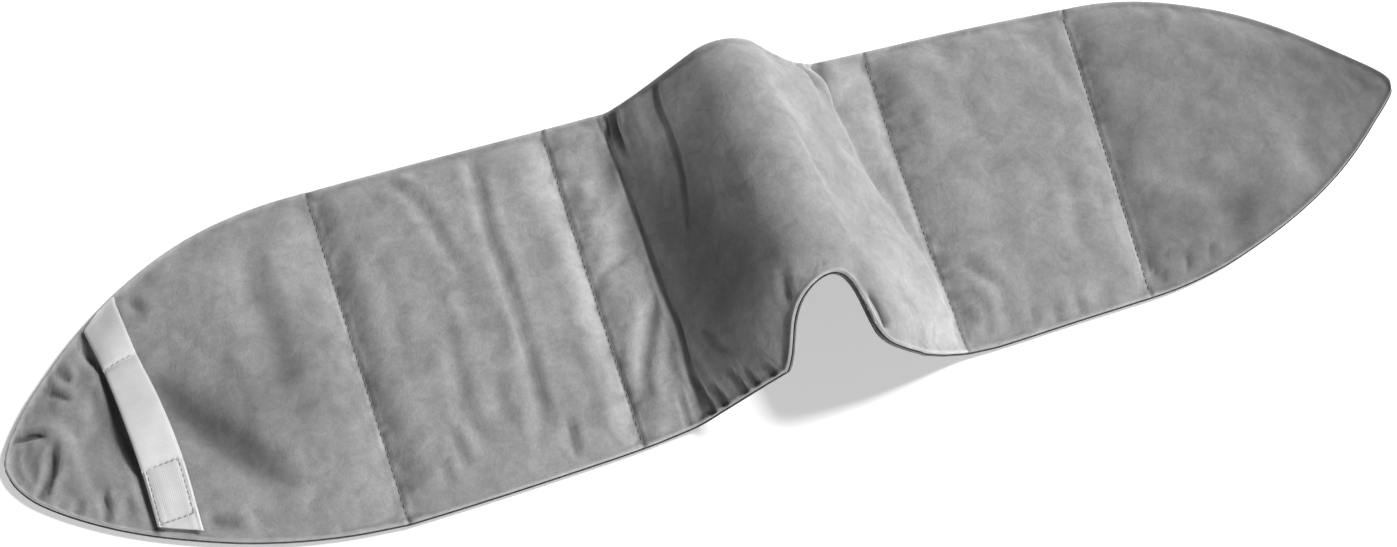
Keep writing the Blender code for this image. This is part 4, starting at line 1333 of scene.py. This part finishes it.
def floor_paper():
    """Pale paper that glows for the camera alone: painted light that keeps its shadows light."""
    g = Nodes("floor_paper")
    seen = g.node("ShaderNodeLightPath").outputs["Is Camera Ray"]
    return g.surface({
        "Base Color": (0.93, 0.93, 0.93, 1),
        "Roughness": 0.9,
        "Specular IOR Level": 0.1,
        "Emission Color": (1, 1, 1, 1),
        "Emission Strength": g.math("MULTIPLY", seen, 0.32)})


MATERIALS = {
    "face_cloth": face_cloth("brushed_face_cloth", tone=0.32),
    "skin_cloth": skin_cloth(),
    "elastic": elastic(),
    "wadding": wadding(),
    "thread": thread("seam_thread", tone=0.20),
    "band_thread": thread("band_thread", tone=0.42)}
for ob, key in finishes:
    ob.data.materials.append(MATERIALS[key])

# --------------------------------------------------------------------------
# stage, light and camera
# --------------------------------------------------------------------------
bpy.ops.mesh.primitive_plane_add(size=8.0, location=(0, 0, -0.0003))
floor = bpy.context.object
floor.name = "floor"
floor.data.materials.append(floor_paper())


def area(name, azimuth, elevation, distance, size, power):
    """A soft box that looks at the frame's origin; azimuth in degrees from +X towards +Y."""
    data = bpy.data.lights.new(name, "AREA")
    data.shape = "RECTANGLE"
    data.size, data.size_y = size
    data.energy = power
    ob = bpy.data.objects.new(name, data)
    bpy.context.scene.collection.objects.link(ob)
    a, e = math.radians(azimuth), math.radians(elevation)
    d = Vector((math.cos(e) * math.cos(a), math.cos(e) * math.sin(a), math.sin(e))).normalized()
    ob.location = d * distance
    ob.rotation_euler = d.to_track_quat("Z", "Y").to_euler()


area("key", azimuth=10, elevation=48.5, distance=4.0, size=(0.7, 0.7), power=170)
area("front_fill", azimuth=-97, elevation=24, distance=4.0, size=(2.4, 1.2), power=86)
world = bpy.data.worlds.new("studio")
bpy.context.scene.world = world
world.use_nodes = True
world.node_tree.nodes["Background"].inputs["Color"].default_value = (1, 1, 1, 1)
world.node_tree.nodes["Background"].inputs["Strength"].default_value = 0.06
bpy.context.scene.view_settings.view_transform = "Standard"


def add_camera(target, distance, elevation, yaw, roll, lens):
    """A camera that looks at a point of the outline's plane; mm and degrees."""
    elevation, yaw, roll = (math.radians(a) for a in (elevation, yaw, roll))
    back = Vector((-math.sin(yaw) * math.cos(elevation), -math.cos(yaw) * math.cos(elevation),
                   math.sin(elevation)))
    right = Vector((0, 0, 1)).cross(back).normalized()
    up = back.cross(right)
    side = math.cos(roll) * right + math.sin(roll) * up
    top = -math.sin(roll) * right + math.cos(roll) * up
    where = Vector(target) + back * distance + Vector(SHIFT)
    data = bpy.data.cameras.new("camera")
    data.sensor_fit = "HORIZONTAL"
    data.sensor_width = 36.0
    data.lens = lens
    data.clip_start = 0.05
    camera = bpy.data.objects.new("camera", data)
    bpy.context.scene.collection.objects.link(camera)
    camera.matrix_world = Matrix([
        (side[k], top[k], back[k], where[k] * 0.001) for k in range(3)] + [(0, 0, 0, 1)])
    bpy.context.scene.camera = camera


add_camera(target=(-23.87, -5.83, 0), distance=761.8, elevation=64.0, yaw=31.34, roll=14.0,
           lens=51.539012169)

bpy.context.view_layer.update()
